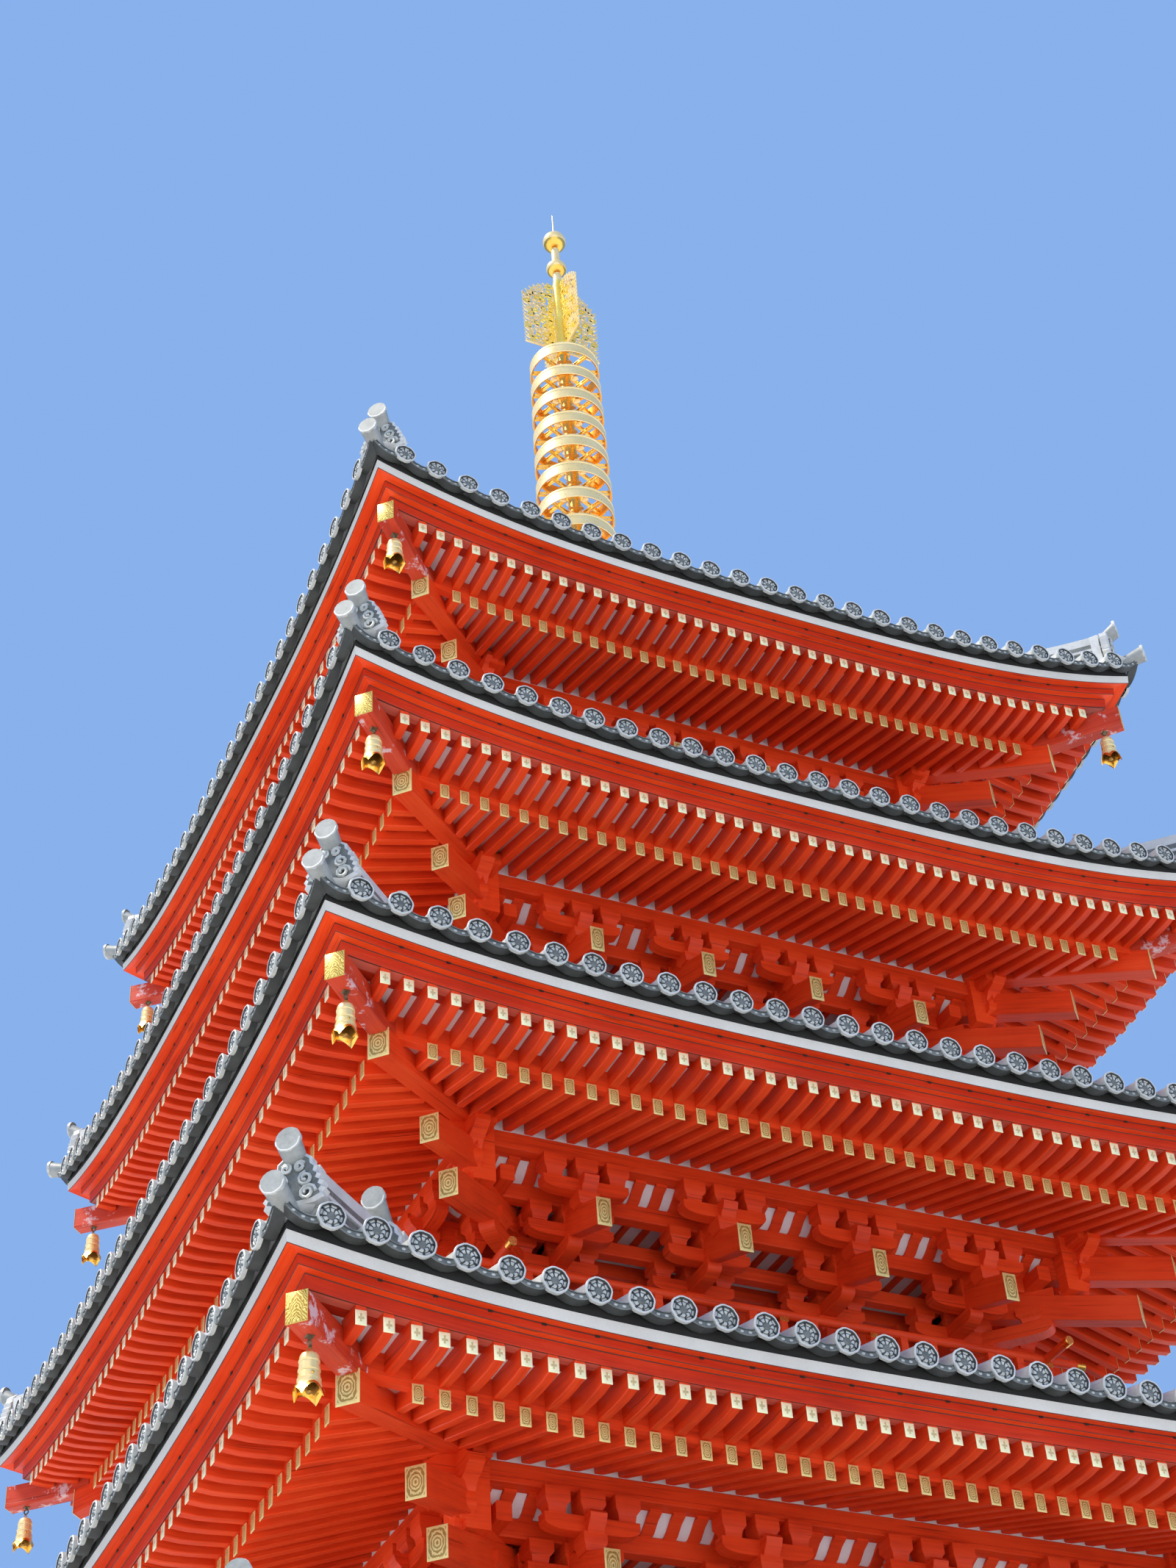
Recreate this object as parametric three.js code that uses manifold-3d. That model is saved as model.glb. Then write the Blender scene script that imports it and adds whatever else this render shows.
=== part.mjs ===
import * as THREE from 'three';
import { mergeVertices } from 'three/addons/utils/BufferGeometryUtils.js';
import Module from 'manifold-3d';

const wasm = await Module();
wasm.setup();

// Five-storey timber pagoda. Millimetres, +Z up, origin on the ground under the spire,
// the front face looks along -Y.

// Storey data, from the ground storey up
const EAVE_HALF = [4910, 4596, 4284, 3974, 3685];
const EAVE_LEVEL = [6070, 8850, 11513, 14074, 16460];
const BODY_HALF = [2090, 1860, 1642, 1428, 1218];
const CORNER_RISE = [300, 300, 300, 396, 431];
const RISE_POWER = 3.1;
const SIDE_STEPS = [-1, -0.82, -0.5, 0.5, 0.82];
const SEAT = 0.3;

// Stone podium and its flights
const PODIUM_HEIGHT = 1000;
const PODIUM_HALF = 3700;
const PLINTH_HALF = 3800;
const PLINTH_HEIGHT = 150;
const COPING_HEIGHT = 180;
const COPING_OUT = 50;
const STEP_RISE = 200;
const STEP_TREAD = 300;
const STEP_COUNT = 4;
const FLIGHT_WIDTH = 2000;

// Levels of a storey's timbers, measured from its eave tile line
const DECK_DROP = 1660;
const DECK_THICK = 90;
const POST_TOP_DROP = 1305;
const PLATE_TOP_DROP = 1235;
const HEAD_BEAM_DROP = 1400;
const PURLIN_BOTTOM_DROP = 300;
const PURLIN_TOP_DROP = 184;
const STEP_OUT = 285;
const PURLIN_OUT = 860;
const TAIL_OUT = 1152;
const TAIL_DROP = 855;
const TAIL_SLOPE = 0.36;
const TAIL_DEPTH = 210;
const TAIL_WIDTH = 98;

// Ground storey
const GROUND_POST_RADIUS = 150;
const UPPER_POST_RADIUS = 110;
const SILL_HEIGHT = 180;
const DOOR_TOP = 3700;
const LINTEL_HEIGHT = 160;
const WALL_THICK = 80;
const WINDOW_FOOT = 1250;
const UPPER_SILL = 40;
const UPPER_HEAD_STRIP = 30;

// Balcony
const BALCONY_OUT = 700;
const RAIL_OUT = 600;
const RAIL_TOP_DROP = 1040;
const RAIL_END = 340;

// Eave section, measured in from the tile line and down from it
const FASCIA_TOP = [120, -100];
const FASCIA_FOOT = [190, -300];
const FASCIA_BACK = [280, -302];
const FLYING_END = [292, -405];
const FLYING_BACK = [690, -335];
const RAFTER_END = [719, -532];
const RAFTER_SLOPE = 0.36;
const EAVE_LAYER = 200;
const TILE_UP = 30;
const TILE_DOWN = 110;
const TILE_BED = 120;
const TILE_PITCH = [276.5, 274.5, 273.5, 269.5, 270];
const TILE_RIB_ROWS = [1.5, 4.5, 7.5, 10.5, 13.5];
const TILE_RIB_HEIGHT = 73;
const TILE_RIB_HALF = 80;
const ROOF_INNER = 550;
const RIDGE_WIDTH = 200;
const LOW_RIDGE_HEIGHT = 400;
const LOW_RIDGE_TIP = [120, 530];
const HIGH_RIDGE_HEIGHT = 450;
const HIGH_RIDGE_TIP = [940, 640];
const RIDGE_GAP = 40;
const TOP_APEX = 2150;
const TOP_APEX_HALF = 400;

// Hip rafters and wind bells, measured along the corner diagonal
const HIP_END = [200, -160];
const HIP_MID = [685, -390];
const BELL_IN = 335;
const BELL_TOP = -310;
const BELL_HEIGHT = 435;
const BELL_RADIUS = 115;
const HOOK_RADIUS = 14;

// Spire, levels above the top roof's tile line
const BOX_HALF = 500;
const BOX_TOP = 2780;
const BOWL_TOP = 3130;
const LOTUS_TOP = 3480;
const RING_LEVELS = [3700, 4090, 4506, 4899, 5323, 5708, 6101, 6482, 6864];
const RING_RADIUS_LOW = 415;
const RING_RADIUS_HIGH = 385;
const RING_BAND = 160;
const RING_THICK = 22;
const HUB_RADIUS = 95;
const MAST_RADIUS = 55;
const FLAME_LOW = 7220;
const FLAME_TOP = 8400;
const FLAME_REACH = 455;
const LOWER_BALL = 8710;
const UPPER_BALL = 9210;
const SPIRE_TIP = 9730;

const vermilion = { color: 0xc8371b, roughness: 0.6, metalness: 0 };
const plaster = { color: 0xe4ddd2, roughness: 0.85, metalness: 0 };
const tile = { color: 0x8b9093, roughness: 0.5, metalness: 0 };
const stone = { color: 0x9d9a92, roughness: 0.85, metalness: 0 };
const boards = { color: 0x9a3a22, roughness: 0.7, metalness: 0 };
const gilt = { color: 0xe8b64a, roughness: 0.3, metalness: 1 };

const pagoda = new THREE.Group();

function toSolid(geometry) {
  const bare = geometry.index ? geometry.toNonIndexed() : geometry.clone();
  bare.deleteAttribute('normal');
  bare.deleteAttribute('uv');
  const merged = mergeVertices(bare, 1e-3);
  const corners = new Uint32Array(merged.index.array);
  const spots = merged.attributes.position;
  const [a, b, c] = [new THREE.Vector3(), new THREE.Vector3(), new THREE.Vector3()];
  let volume = 0;
  for (let i = 0; i < corners.length; i += 3) {
    a.fromBufferAttribute(spots, corners[i]);
    b.fromBufferAttribute(spots, corners[i + 1]);
    c.fromBufferAttribute(spots, corners[i + 2]);
    volume += a.dot(b.cross(c));
  }
  if (volume < 0) corners.reverse();
  return new wasm.Manifold(new wasm.Mesh({
    numProp: 3,
    vertProperties: new Float32Array(spots.array),
    triVerts: corners,
  }));
}

function addSolid(name, solid, look) {
  const mesh = solid.getMesh();
  const geometry = new THREE.BufferGeometry();
  geometry.setAttribute('position', new THREE.BufferAttribute(new Float32Array(mesh.vertProperties), 3));
  geometry.setIndex(new THREE.BufferAttribute(new Uint32Array(mesh.triVerts), 1));
  geometry.computeVertexNormals();
  const part = new THREE.Mesh(geometry, new THREE.MeshStandardMaterial(look));
  part.name = name;
  pagoda.add(part);
  return part;
}

function joined(solids) {
  return solids.reduce((all, solid) => all.add(solid));
}

function box(x0, x1, y0, y1, z0, z1) {
  const geometry = new THREE.BoxGeometry(x1 - x0, y1 - y0, z1 - z0);
  geometry.translate((x0 + x1) / 2, (y0 + y1) / 2, (z0 + z1) / 2);
  return toSolid(geometry);
}

function post(x, y, radius, z0, z1, sides) {
  const geometry = new THREE.CylinderGeometry(radius, radius, z1 - z0, sides);
  geometry.rotateX(Math.PI / 2);
  geometry.rotateZ(Math.PI / sides);
  geometry.translate(x, y, (z0 + z1) / 2);
  return toSolid(geometry);
}

function lathe(points, segments) {
  const profile = points.map(([radius, height]) => new THREE.Vector2(radius, height));
  const geometry = new THREE.LatheGeometry(profile, segments);
  geometry.rotateX(Math.PI / 2);
  return toSolid(geometry);
}

// Closed section [half width, level, share of the corner rise] swept round the four sides
function squareLoft(section, halfEave, rise, steps = SIDE_STEPS) {
  const positions = [];
  const count = section.length;
  const loops = 4 * steps.length;
  for (let side = 0; side < 4; side += 1) {
    for (const u of steps) {
      for (const [half, level, share] of section) {
        const along = u * half;
        const z = level + share * rise * Math.pow(Math.abs(along) / halfEave, RISE_POWER);
        const spot = [[along, -half], [half, along], [-along, half], [-half, -along]][side];
        positions.push(spot[0], spot[1], z);
      }
    }
  }
  const index = [];
  for (let i = 0; i < loops; i += 1) {
    for (let j = 0; j < count; j += 1) {
      const a = i * count + j;
      const b = i * count + ((j + 1) % count);
      const c = ((i + 1) % loops) * count + j;
      const d = ((i + 1) % loops) * count + ((j + 1) % count);
      index.push(a, c, b, b, c, d);
    }
  }
  const geometry = new THREE.BufferGeometry();
  geometry.setAttribute('position', new THREE.Float32BufferAttribute(positions, 3));
  geometry.setIndex(index);
  return toSolid(geometry);
}

// Square ring beam between two half widths
function ringBeam(inner, outer, z0, z1) {
  const shape = new THREE.Shape();
  shape.moveTo(-outer, -outer);
  shape.lineTo(outer, -outer);
  shape.lineTo(outer, outer);
  shape.lineTo(-outer, outer);
  shape.closePath();
  const hole = new THREE.Path();
  hole.moveTo(-inner, -inner);
  hole.lineTo(-inner, inner);
  hole.lineTo(inner, inner);
  hole.lineTo(inner, -inner);
  hole.closePath();
  shape.holes.push(hole);
  const geometry = new THREE.ExtrudeGeometry(shape, { depth: z1 - z0, bevelEnabled: false });
  geometry.translate(0, 0, z0);
  return toSolid(geometry);
}

// Plate of the given width whose outline [out, level] stands square to a side or on a corner diagonal
function standingPlate(outline, width, angle, offset) {
  const shape = new THREE.Shape(outline.map(([out, level]) => new THREE.Vector2(out, level)));
  const geometry = new THREE.ExtrudeGeometry(shape, { depth: width, bevelEnabled: false });
  geometry.translate(0, 0, -width / 2);
  geometry.rotateX(Math.PI / 2);
  geometry.translate(0, offset, 0);
  geometry.rotateZ(angle);
  return toSolid(geometry);
}

function quarterTurns(make) {
  return [0, 1, 2, 3].map((turn) => make(turn * Math.PI / 2));
}

// Stone podium with plinth and coping, and a flight of steps to each door
const plinth = box(-PLINTH_HALF, PLINTH_HALF, -PLINTH_HALF, PLINTH_HALF, 0, PLINTH_HEIGHT);
const podiumCore = box(-PODIUM_HALF, PODIUM_HALF, -PODIUM_HALF, PODIUM_HALF, 0, PODIUM_HEIGHT);
const copingHalf = PODIUM_HALF + COPING_OUT;
const coping = box(-copingHalf, copingHalf, -copingHalf, copingHalf,
  PODIUM_HEIGHT - COPING_HEIGHT, PODIUM_HEIGHT);
addSolid('podium', joined([plinth, podiumCore, coping]), stone);

function flight(angle) {
  const start = PLINTH_HALF + SEAT;
  const outline = [[start, 0]];
  for (let step = 0; step < STEP_COUNT; step += 1) {
    const out = start + (STEP_COUNT - step) * STEP_TREAD;
    outline.push([out, step * STEP_RISE], [out, (step + 1) * STEP_RISE]);
  }
  outline.push([start, STEP_COUNT * STEP_RISE]);
  return standingPlate(outline, FLIGHT_WIDTH, angle, 0);
}
addSolid('steps_right', flight(0), stone);
addSolid('steps_back', flight(Math.PI / 2), stone);
addSolid('steps_left', flight(Math.PI), stone);
addSolid('steps_front', flight(-Math.PI / 2), stone);

// Twelve posts of a storey, on four column lines each way
function postPlaces(half) {
  const lines = [-half, -half / 3, half / 3, half];
  const places = [];
  for (const x of lines) {
    for (const y of lines) {
      if (Math.abs(x) > half - 1 || Math.abs(y) > half - 1) places.push([x, y]);
    }
  }
  return places;
}

// Opening through the wall on every side, cut as two crossing boxes
function crossCut(x0, x1, z0, z1, reach) {
  return [box(x0, x1, -reach, reach, z0, z1), box(-reach, reach, x0, x1, z0, z1)];
}

function wallRing(half, faces, z0, z1, openTop, windowFoot, leafHalf, radius) {
  let ring = ringBeam(faces[0], faces[1], z0, z1);
  const bay = half * 2 / 3;
  const reach = half + 500;
  const cuts = crossCut(-leafHalf, leafHalf, z0 - 10, openTop, reach);
  const windowHalf = bay / 2 - radius - 60;
  for (const centre of [-bay, bay]) {
    cuts.push(...crossCut(centre - windowHalf, centre + windowHalf, windowFoot, openTop, reach));
  }
  for (const cut of cuts) ring = ring.subtract(cut);
  return ring;
}

// Ground storey: the wall slab runs on through slots in the posts
{
  const half = BODY_HALF[0];
  const eave = EAVE_LEVEL[0];
  const radius = GROUND_POST_RADIUS;
  const foot = PODIUM_HEIGHT + SEAT;
  const postTop = eave - POST_TOP_DROP;
  const beamHalf = radius * 0.8;
  const wallFoot = foot + SILL_HEIGHT + SEAT;
  const wallTop = eave - HEAD_BEAM_DROP - SEAT;
  const openTop = DOOR_TOP;
  const leafHalf = half / 3 - radius - 30;
  const slot = ringBeam(half - WALL_THICK / 2 - SEAT, half + WALL_THICK / 2 + SEAT, wallFoot - SEAT, wallTop + SEAT);
  const timbers = postPlaces(half).map(([x, y]) => post(x, y, radius, foot, postTop, 6).subtract(slot));
  timbers.push(ringBeam(half - radius - 60, half + radius + 60, postTop - 1, eave - PLATE_TOP_DROP));
  timbers.push(ringBeam(half - 60, half + 60, eave - HEAD_BEAM_DROP, postTop));
  timbers.push(ringBeam(half - beamHalf, half + beamHalf, foot, foot + SILL_HEIGHT));
  timbers.push(ringBeam(half - beamHalf, half + beamHalf, DOOR_TOP, DOOR_TOP + LINTEL_HEIGHT).subtract(slot));
  addSolid('frame_1', joined(timbers), vermilion);
  const faces = [half - WALL_THICK / 2, half + WALL_THICK / 2];
  const walls = wallRing(half, faces, wallFoot, wallTop, openTop, foot + WINDOW_FOOT, leafHalf, radius);
  addSolid('walls_1', walls, plaster);
  ['right', 'back', 'left', 'front'].forEach((side, turn) => {
    const top = openTop - SEAT;
    const leaves = standingPlate(
      [[half - 25, wallFoot], [half + 25, wallFoot], [half + 25, top], [half - 25, top]],
      2 * leafHalf - 2, turn * Math.PI / 2, 0);
    addSolid(`ground_doors_${side}`, leaves, boards);
  });
}

// Upper storeys: low frames with fixed door leaves, the walls stand just inside the posts
for (let s = 1; s < 5; s += 1) {
  const half = BODY_HALF[s];
  const eave = EAVE_LEVEL[s];
  const radius = UPPER_POST_RADIUS;
  const foot = eave - DECK_DROP + SEAT;
  const postTop = eave - POST_TOP_DROP;
  const sillHalf = radius * 0.8;
  const leafHalf = half / 3 - radius - 30;
  const timbers = postPlaces(half).map(([x, y]) => post(x, y, radius, foot, postTop, 6));
  timbers.push(ringBeam(half - radius - 60, half + radius + 60, eave - HEAD_BEAM_DROP, eave - PLATE_TOP_DROP));
  timbers.push(ringBeam(half - sillHalf, half + sillHalf, foot, foot + UPPER_SILL));
  timbers.push(...quarterTurns((angle) => standingPlate(
    [[half - 20, foot], [half + 20, foot], [half + 20, postTop], [half - 20, postTop]],
    2 * leafHalf - 2, angle, 0)));
  addSolid(`frame_${s + 1}`, joined(timbers), vermilion);
  const faces = [half - radius - SEAT - WALL_THICK, half - radius - SEAT];
  const wallTop = eave - HEAD_BEAM_DROP - SEAT;
  const openTop = wallTop - UPPER_HEAD_STRIP;
  const walls = wallRing(half, faces, foot, wallTop, openTop, foot + UPPER_SILL, leafHalf, radius);
  addSolid(`walls_${s + 1}`, walls, plaster);
}

// Balcony deck and balustrade of each upper storey
for (let s = 1; s < 5; s += 1) {
  const half = BODY_HALF[s];
  const deck = EAVE_LEVEL[s] - DECK_DROP;
  const deckHalf = half + BALCONY_OUT;
  addSolid(`balcony_${s + 1}`, box(-deckHalf, deckHalf, -deckHalf, deckHalf, deck - DECK_THICK, deck), boards);

  const rail = half + RAIL_OUT;
  const railTop = EAVE_LEVEL[s] - RAIL_TOP_DROP;
  const foot = deck + SEAT;
  const bars = [ringBeam(rail - 35, rail + 35, foot, foot + 90)];
  bars.push(ringBeam(rail - 28, rail + 28, (foot + railTop) / 2 - 10, (foot + railTop) / 2 + 50));
  for (const at of [-rail, rail]) {
    const end = rail + RAIL_END;
    bars.push(box(-end, end, at - 35, at + 35, railTop - 70, railTop));
    bars.push(box(at - 35, at + 35, -end, end, railTop - 70, railTop));
  }
  for (const x of [-rail, 0, rail]) {
    for (const y of [-rail, 0, rail]) {
      if (x !== 0 || y !== 0) bars.push(box(x - 32, x + 32, y - 32, y + 32, foot, railTop - 20));
    }
  }
  addSolid(`balustrade_${s + 1}`, joined(bars), vermilion);
}

function rafterUnder(s, halfWidth) {
  return EAVE_LEVEL[s] + RAFTER_END[1] + RAFTER_SLOPE * (EAVE_HALF[s] - RAFTER_END[0] - halfWidth);
}

// Three-step bracket ring: corbelled steps up to the eave purlin, and the tail rafters through it
for (let s = 0; s < 5; s += 1) {
  const half = BODY_HALF[s];
  const eave = EAVE_LEVEL[s];
  const plate = eave - PLATE_TOP_DROP + SEAT;
  const purlinFace = half + PURLIN_OUT + 20;
  const section = [
    [half - 55, plate, 0],
    [half + 130, plate, 0],
    [half + 130, plate + 130, 0],
    [half + STEP_OUT + 60, plate + 230, 0],
    [half + STEP_OUT + 60, plate + 310, 0],
    [half + 2 * STEP_OUT + 45, eave - 850, 0],
    [half + 2 * STEP_OUT + 45, eave - 560, 0],
    [purlinFace - 100, eave - 430, 0],
    [purlinFace, eave - 430, 0],
    [purlinFace, rafterUnder(s, purlinFace) - SEAT, 0],
    [half - 55, rafterUnder(s, half - 55) - SEAT, 0],
  ];
  const bodies = [squareLoft(section, EAVE_HALF[s], 0, [-1])];
  const tailFoot = eave - TAIL_DROP - TAIL_DEPTH / 2;
  const rise = TAIL_SLOPE * (TAIL_OUT - STEP_OUT);
  const tail = (stretch) => [
    [(half + STEP_OUT) * stretch, tailFoot + rise],
    [(half + TAIL_OUT) * stretch, tailFoot],
    [(half + TAIL_OUT) * stretch, tailFoot + TAIL_DEPTH],
    [(half + STEP_OUT) * stretch, tailFoot + rise + TAIL_DEPTH],
  ];
  for (const line of [-half, -half / 3, half / 3, half]) {
    bodies.push(...quarterTurns((angle) => standingPlate(tail(1), TAIL_WIDTH, angle, line)));
  }
  bodies.push(...quarterTurns((angle) => standingPlate(tail(Math.SQRT2), 130, angle + Math.PI / 4, 0)));
  addSolid(`brackets_${s + 1}`, joined(bodies), vermilion);
}

// Wind bell: eye on the hinge line, straight body, flared open mouth
function bellProfile(segments) {
  return lathe([
    [0, HOOK_RADIUS], [HOOK_RADIUS, -36], [72, -60], [84, -270],
    [BELL_RADIUS, -BELL_HEIGHT], [BELL_RADIUS - 14, -BELL_HEIGHT], [70, -275], [58, -80], [0, -70],
  ], segments);
}
function bellSpot(s, corner) {
  const reach = EAVE_HALF[s] - BELL_IN;
  const signs = [[-1, -1], [1, -1], [1, 1], [-1, 1]][corner];
  const sag = 0.8 * (CORNER_RISE[4] - CORNER_RISE[s]);
  return [signs[0] * reach, signs[1] * reach, EAVE_LEVEL[s] + BELL_TOP - sag];
}

// Timber eaves: boards over flying and base rafters as one layer, hip rafters and bell hangers
for (let s = 0; s < 5; s += 1) {
  const half = BODY_HALF[s];
  const eaveHalf = EAVE_HALF[s];
  const level = EAVE_LEVEL[s];
  const inner = half - 60;
  const section = [
    [eaveHalf - FASCIA_TOP[0], level + FASCIA_TOP[1], 1],
    [eaveHalf - 300, level - 80, 1],
    [inner, rafterUnder(s, inner) + EAVE_LAYER, 1],
    [inner, rafterUnder(s, inner), 0],
    [eaveHalf - RAFTER_END[0], level + RAFTER_END[1], 0.67],
    [eaveHalf - FLYING_BACK[0], level + FLYING_BACK[1], 0.82],
    [eaveHalf - FLYING_END[0], level + FLYING_END[1], 0.82],
    [eaveHalf - FASCIA_BACK[0], level + FASCIA_BACK[1], 0.9],
    [eaveHalf - FASCIA_FOOT[0], level + FASCIA_FOOT[1], 0.9],
  ];
  const bodies = [squareLoft(section, eaveHalf, CORNER_RISE[s])];
  const sag = (inward) => 0.8 * (CORNER_RISE[4] - CORNER_RISE[s]) * Math.pow(1 - inward / eaveHalf, RISE_POWER);
  const diagonal = (inward, down) => [(eaveHalf - inward) * Math.SQRT2, level + down - sag(inward)];
  const hipUnder = rafterUnder(s, half + 100) - level + 20;
  const clear = half + PURLIN_OUT + 80;
  const outline = [
    diagonal(HIP_END[0], HIP_END[1] + 90),
    [(half + 100) * Math.SQRT2, level + hipUnder + 200],
    [(half + 100) * Math.SQRT2, level + hipUnder],
    [clear * Math.SQRT2, rafterUnder(s, clear) + 20],
    diagonal(HIP_MID[0], HIP_MID[1] - 110),
    diagonal(HIP_MID[0], HIP_MID[1] + 60),
    diagonal(HIP_END[0], HIP_END[1] - 90),
  ];
  bodies.push(...quarterTurns((angle) => standingPlate(outline, 150, angle + Math.PI / 4, 0)));
  for (let corner = 0; corner < 4; corner += 1) {
    const [x, y, z] = bellSpot(s, corner);
    const hangerFoot = z + HOOK_RADIUS + SEAT;
    if (s >= 3) {
      bodies.push(post(x, y, HOOK_RADIUS, hangerFoot, level - 180, 4));
    } else {
      bodies.push(post(x, y, HOOK_RADIUS, z - 5, level - 180, 4));
      bodies.push(bellProfile(4).rotate([0, 0, 45]).translate([x, y, z]));
    }
  }
  addSolid(`eaves_${s + 1}`, joined(bodies), vermilion);
}

// Solid between closed square rows, each a list of [along, level] on its own half width; neighbouring
// rows may have different numbers of points and are stitched by where the points lie along the side
function stitchedRows(rows) {
  const positions = [];
  const sides = rows.map(({ half, points }) => {
    const first = positions.length / 3;
    const count = points.length - 1;
    for (let side = 0; side < 4; side += 1) {
      for (const [along, z] of points.slice(0, -1)) {
        const spot = [[along, -half], [half, along], [-along, half], [-half, -along]][side];
        positions.push(spot[0], spot[1], z);
      }
    }
    return [0, 1, 2, 3].map((side) => points.map((_, i) => first + ((side * count + i) % (4 * count))));
  });
  const index = [];
  rows.forEach((row, r) => {
    const next = (r + 1) % rows.length;
    const byShare = !(row.ribbed && rows[next].ribbed);
    const place = ({ half, points }) => points.map(([along]) => (byShare ? along / half : along));
    const [ta, tb] = [place(row), place(rows[next])];
    for (let side = 0; side < 4; side += 1) {
      const [a, b] = [sides[r][side], sides[next][side]];
      let [i, j] = [0, 0];
      while (i < a.length - 1 || j < b.length - 1) {
        if (j === b.length - 1 || (i < a.length - 1 && ta[i + 1] <= tb[j + 1] + 1e-9)) {
          index.push(a[i], a[i + 1], b[j]);
          i += 1;
        } else {
          index.push(a[i], b[j + 1], b[j]);
          j += 1;
        }
      }
    }
  });
  const geometry = new THREE.BufferGeometry();
  geometry.setAttribute('position', new THREE.Float32BufferAttribute(positions, 3));
  geometry.setIndex(index);
  return toSolid(geometry);
}

// Tile roofs with corner ridges
for (let s = 0; s < 5; s += 1) {
  const eaveHalf = EAVE_HALF[s];
  const level = EAVE_LEVEL[s];
  const top = s === 4;
  const inner = top ? TOP_APEX_HALF : BODY_HALF[s + 1] + ROOF_INNER;
  const innerTop = top ? level + TOP_APEX : EAVE_LEVEL[s + 1] - DECK_DROP - DECK_THICK - SEAT;
  const edgeTop = level + TILE_UP + 0.2 * 320;
  const run = eaveHalf - 300 - inner;
  const middle = eaveHalf - 300 - run / 2;
  const middleTop = edgeTop + (innerTop - edgeTop) * (top ? 0.4 : 0.43);
  const lift = (half) => CORNER_RISE[s] * Math.pow(half / eaveHalf, RISE_POWER);
  const profile = [[inner, innerTop], [middle, middleTop], [eaveHalf - 300, edgeTop], [eaveHalf, level + TILE_UP]];
  const surface = (half) => {
    const i = profile.findIndex(([limit], k) => k > 0 && half <= limit);
    const [h0, z0] = profile[i - 1];
    const [h1, z1] = profile[i];
    return z0 + (z1 - z0) * (half - h0) / (h1 - h0);
  };
  // Bed of the tiles below, then the tile surface with one row of round tiles in three as a rib
  const bedRow = (half, z, share) => ({
    half,
    points: [...SIDE_STEPS, 1].map((u) => [u * half, z + share * lift(Math.abs(u) * half)]),
  });
  const tileRow = (half, share, rise) => {
    const level = (x, up) => [x, surface(Math.min(half, eaveHalf)) + share * lift(Math.abs(x)) + up];
    const ribs = TILE_RIB_ROWS.map((row) => row * TILE_PITCH[s]).filter((x) => x < half - 400);
    const points = [...ribs.map((x) => -x).reverse(), ...ribs].flatMap(
      (x) => [level(x - TILE_RIB_HALF, 0), level(x, rise), level(x + TILE_RIB_HALF, 0)]);
    return { half, ribbed: true, points: [level(-half, 0), ...points, level(half, 0)] };
  };
  const body = stitchedRows([
    bedRow(eaveHalf, level - TILE_DOWN, 1),
    bedRow(eaveHalf - FASCIA_TOP[0], level + FASCIA_TOP[1] + SEAT, 1),
    bedRow(eaveHalf - 300, level - 80 + SEAT, 1),
    bedRow(middle, middleTop - TILE_BED, 1),
    bedRow(inner, innerTop - TILE_BED, 0),
    tileRow(inner, 0, 0),
    tileRow((inner + middle) / 2, 0.5, TILE_RIB_HEIGHT),
    tileRow(middle, 1, TILE_RIB_HEIGHT),
    tileRow((middle + eaveHalf - 300) / 2, 1, TILE_RIB_HEIGHT),
    tileRow(eaveHalf + 20, 1, TILE_RIB_HEIGHT),
  ]);
  const bodies = [body];
  const above = (half, height) => [half * Math.SQRT2, surface(half) + lift(half) + height];
  const outline = [
    ...[inner + 60, middle, eaveHalf - 300, eaveHalf - 60].map((half) => above(half, -60)),
    above(eaveHalf - 60, 250),
    above(eaveHalf - LOW_RIDGE_TIP[0], LOW_RIDGE_TIP[1]),
    above(eaveHalf - 350, LOW_RIDGE_HEIGHT),
    above(eaveHalf - HIGH_RIDGE_TIP[0] + 60, LOW_RIDGE_HEIGHT),
    above(eaveHalf - HIGH_RIDGE_TIP[0], HIGH_RIDGE_TIP[1]),
    above(eaveHalf - HIGH_RIDGE_TIP[0] - 220, HIGH_RIDGE_HEIGHT),
    above(inner + 230, 20),
    above(inner + 60, -RIDGE_GAP),
  ];
  bodies.push(...quarterTurns((angle) => standingPlate(outline, RIDGE_WIDTH, angle + Math.PI / 4, 0)));
  addSolid(`roof_${s + 1}`, joined(bodies), tile);
}

// Wind bells of the two upper roofs
for (const s of [3, 4]) {
  ['front_left', 'front_right', 'back_right', 'back_left'].forEach((place, corner) => {
    const [x, y, z] = bellSpot(s, corner);
    addSolid(`bell_${s + 1}_${place}`, bellProfile(8).translate([x, y, z]), gilt);
  });
}

// Spire
const topLevel = EAVE_LEVEL[4];
const boxFoot = topLevel + TOP_APEX + SEAT;
addSolid('spire_box', joined([
  box(-BOX_HALF, BOX_HALF, -BOX_HALF, BOX_HALF, boxFoot, topLevel + BOX_TOP),
  box(-BOX_HALF - 60, BOX_HALF + 60, -BOX_HALF - 60, BOX_HALF + 60, topLevel + BOX_TOP - 130, topLevel + BOX_TOP),
]), gilt);
addSolid('spire_bowl', lathe([
  [0, BOX_TOP + SEAT], [400, BOX_TOP + SEAT], [430, BOX_TOP + 80], [390, BOX_TOP + 240], [280, BOX_TOP + 390],
  [150, BOWL_TOP], [170, BOWL_TOP + 60], [330, BOWL_TOP + 170], [430, LOTUS_TOP - 40], [410, LOTUS_TOP],
  [0, LOTUS_TOP],
], 12).translate([0, 0, topLevel]), gilt);
addSolid('spire_mast', post(0, 0, MAST_RADIUS, topLevel + LOTUS_TOP + SEAT, topLevel + FLAME_TOP + 60, 8), gilt);

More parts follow.
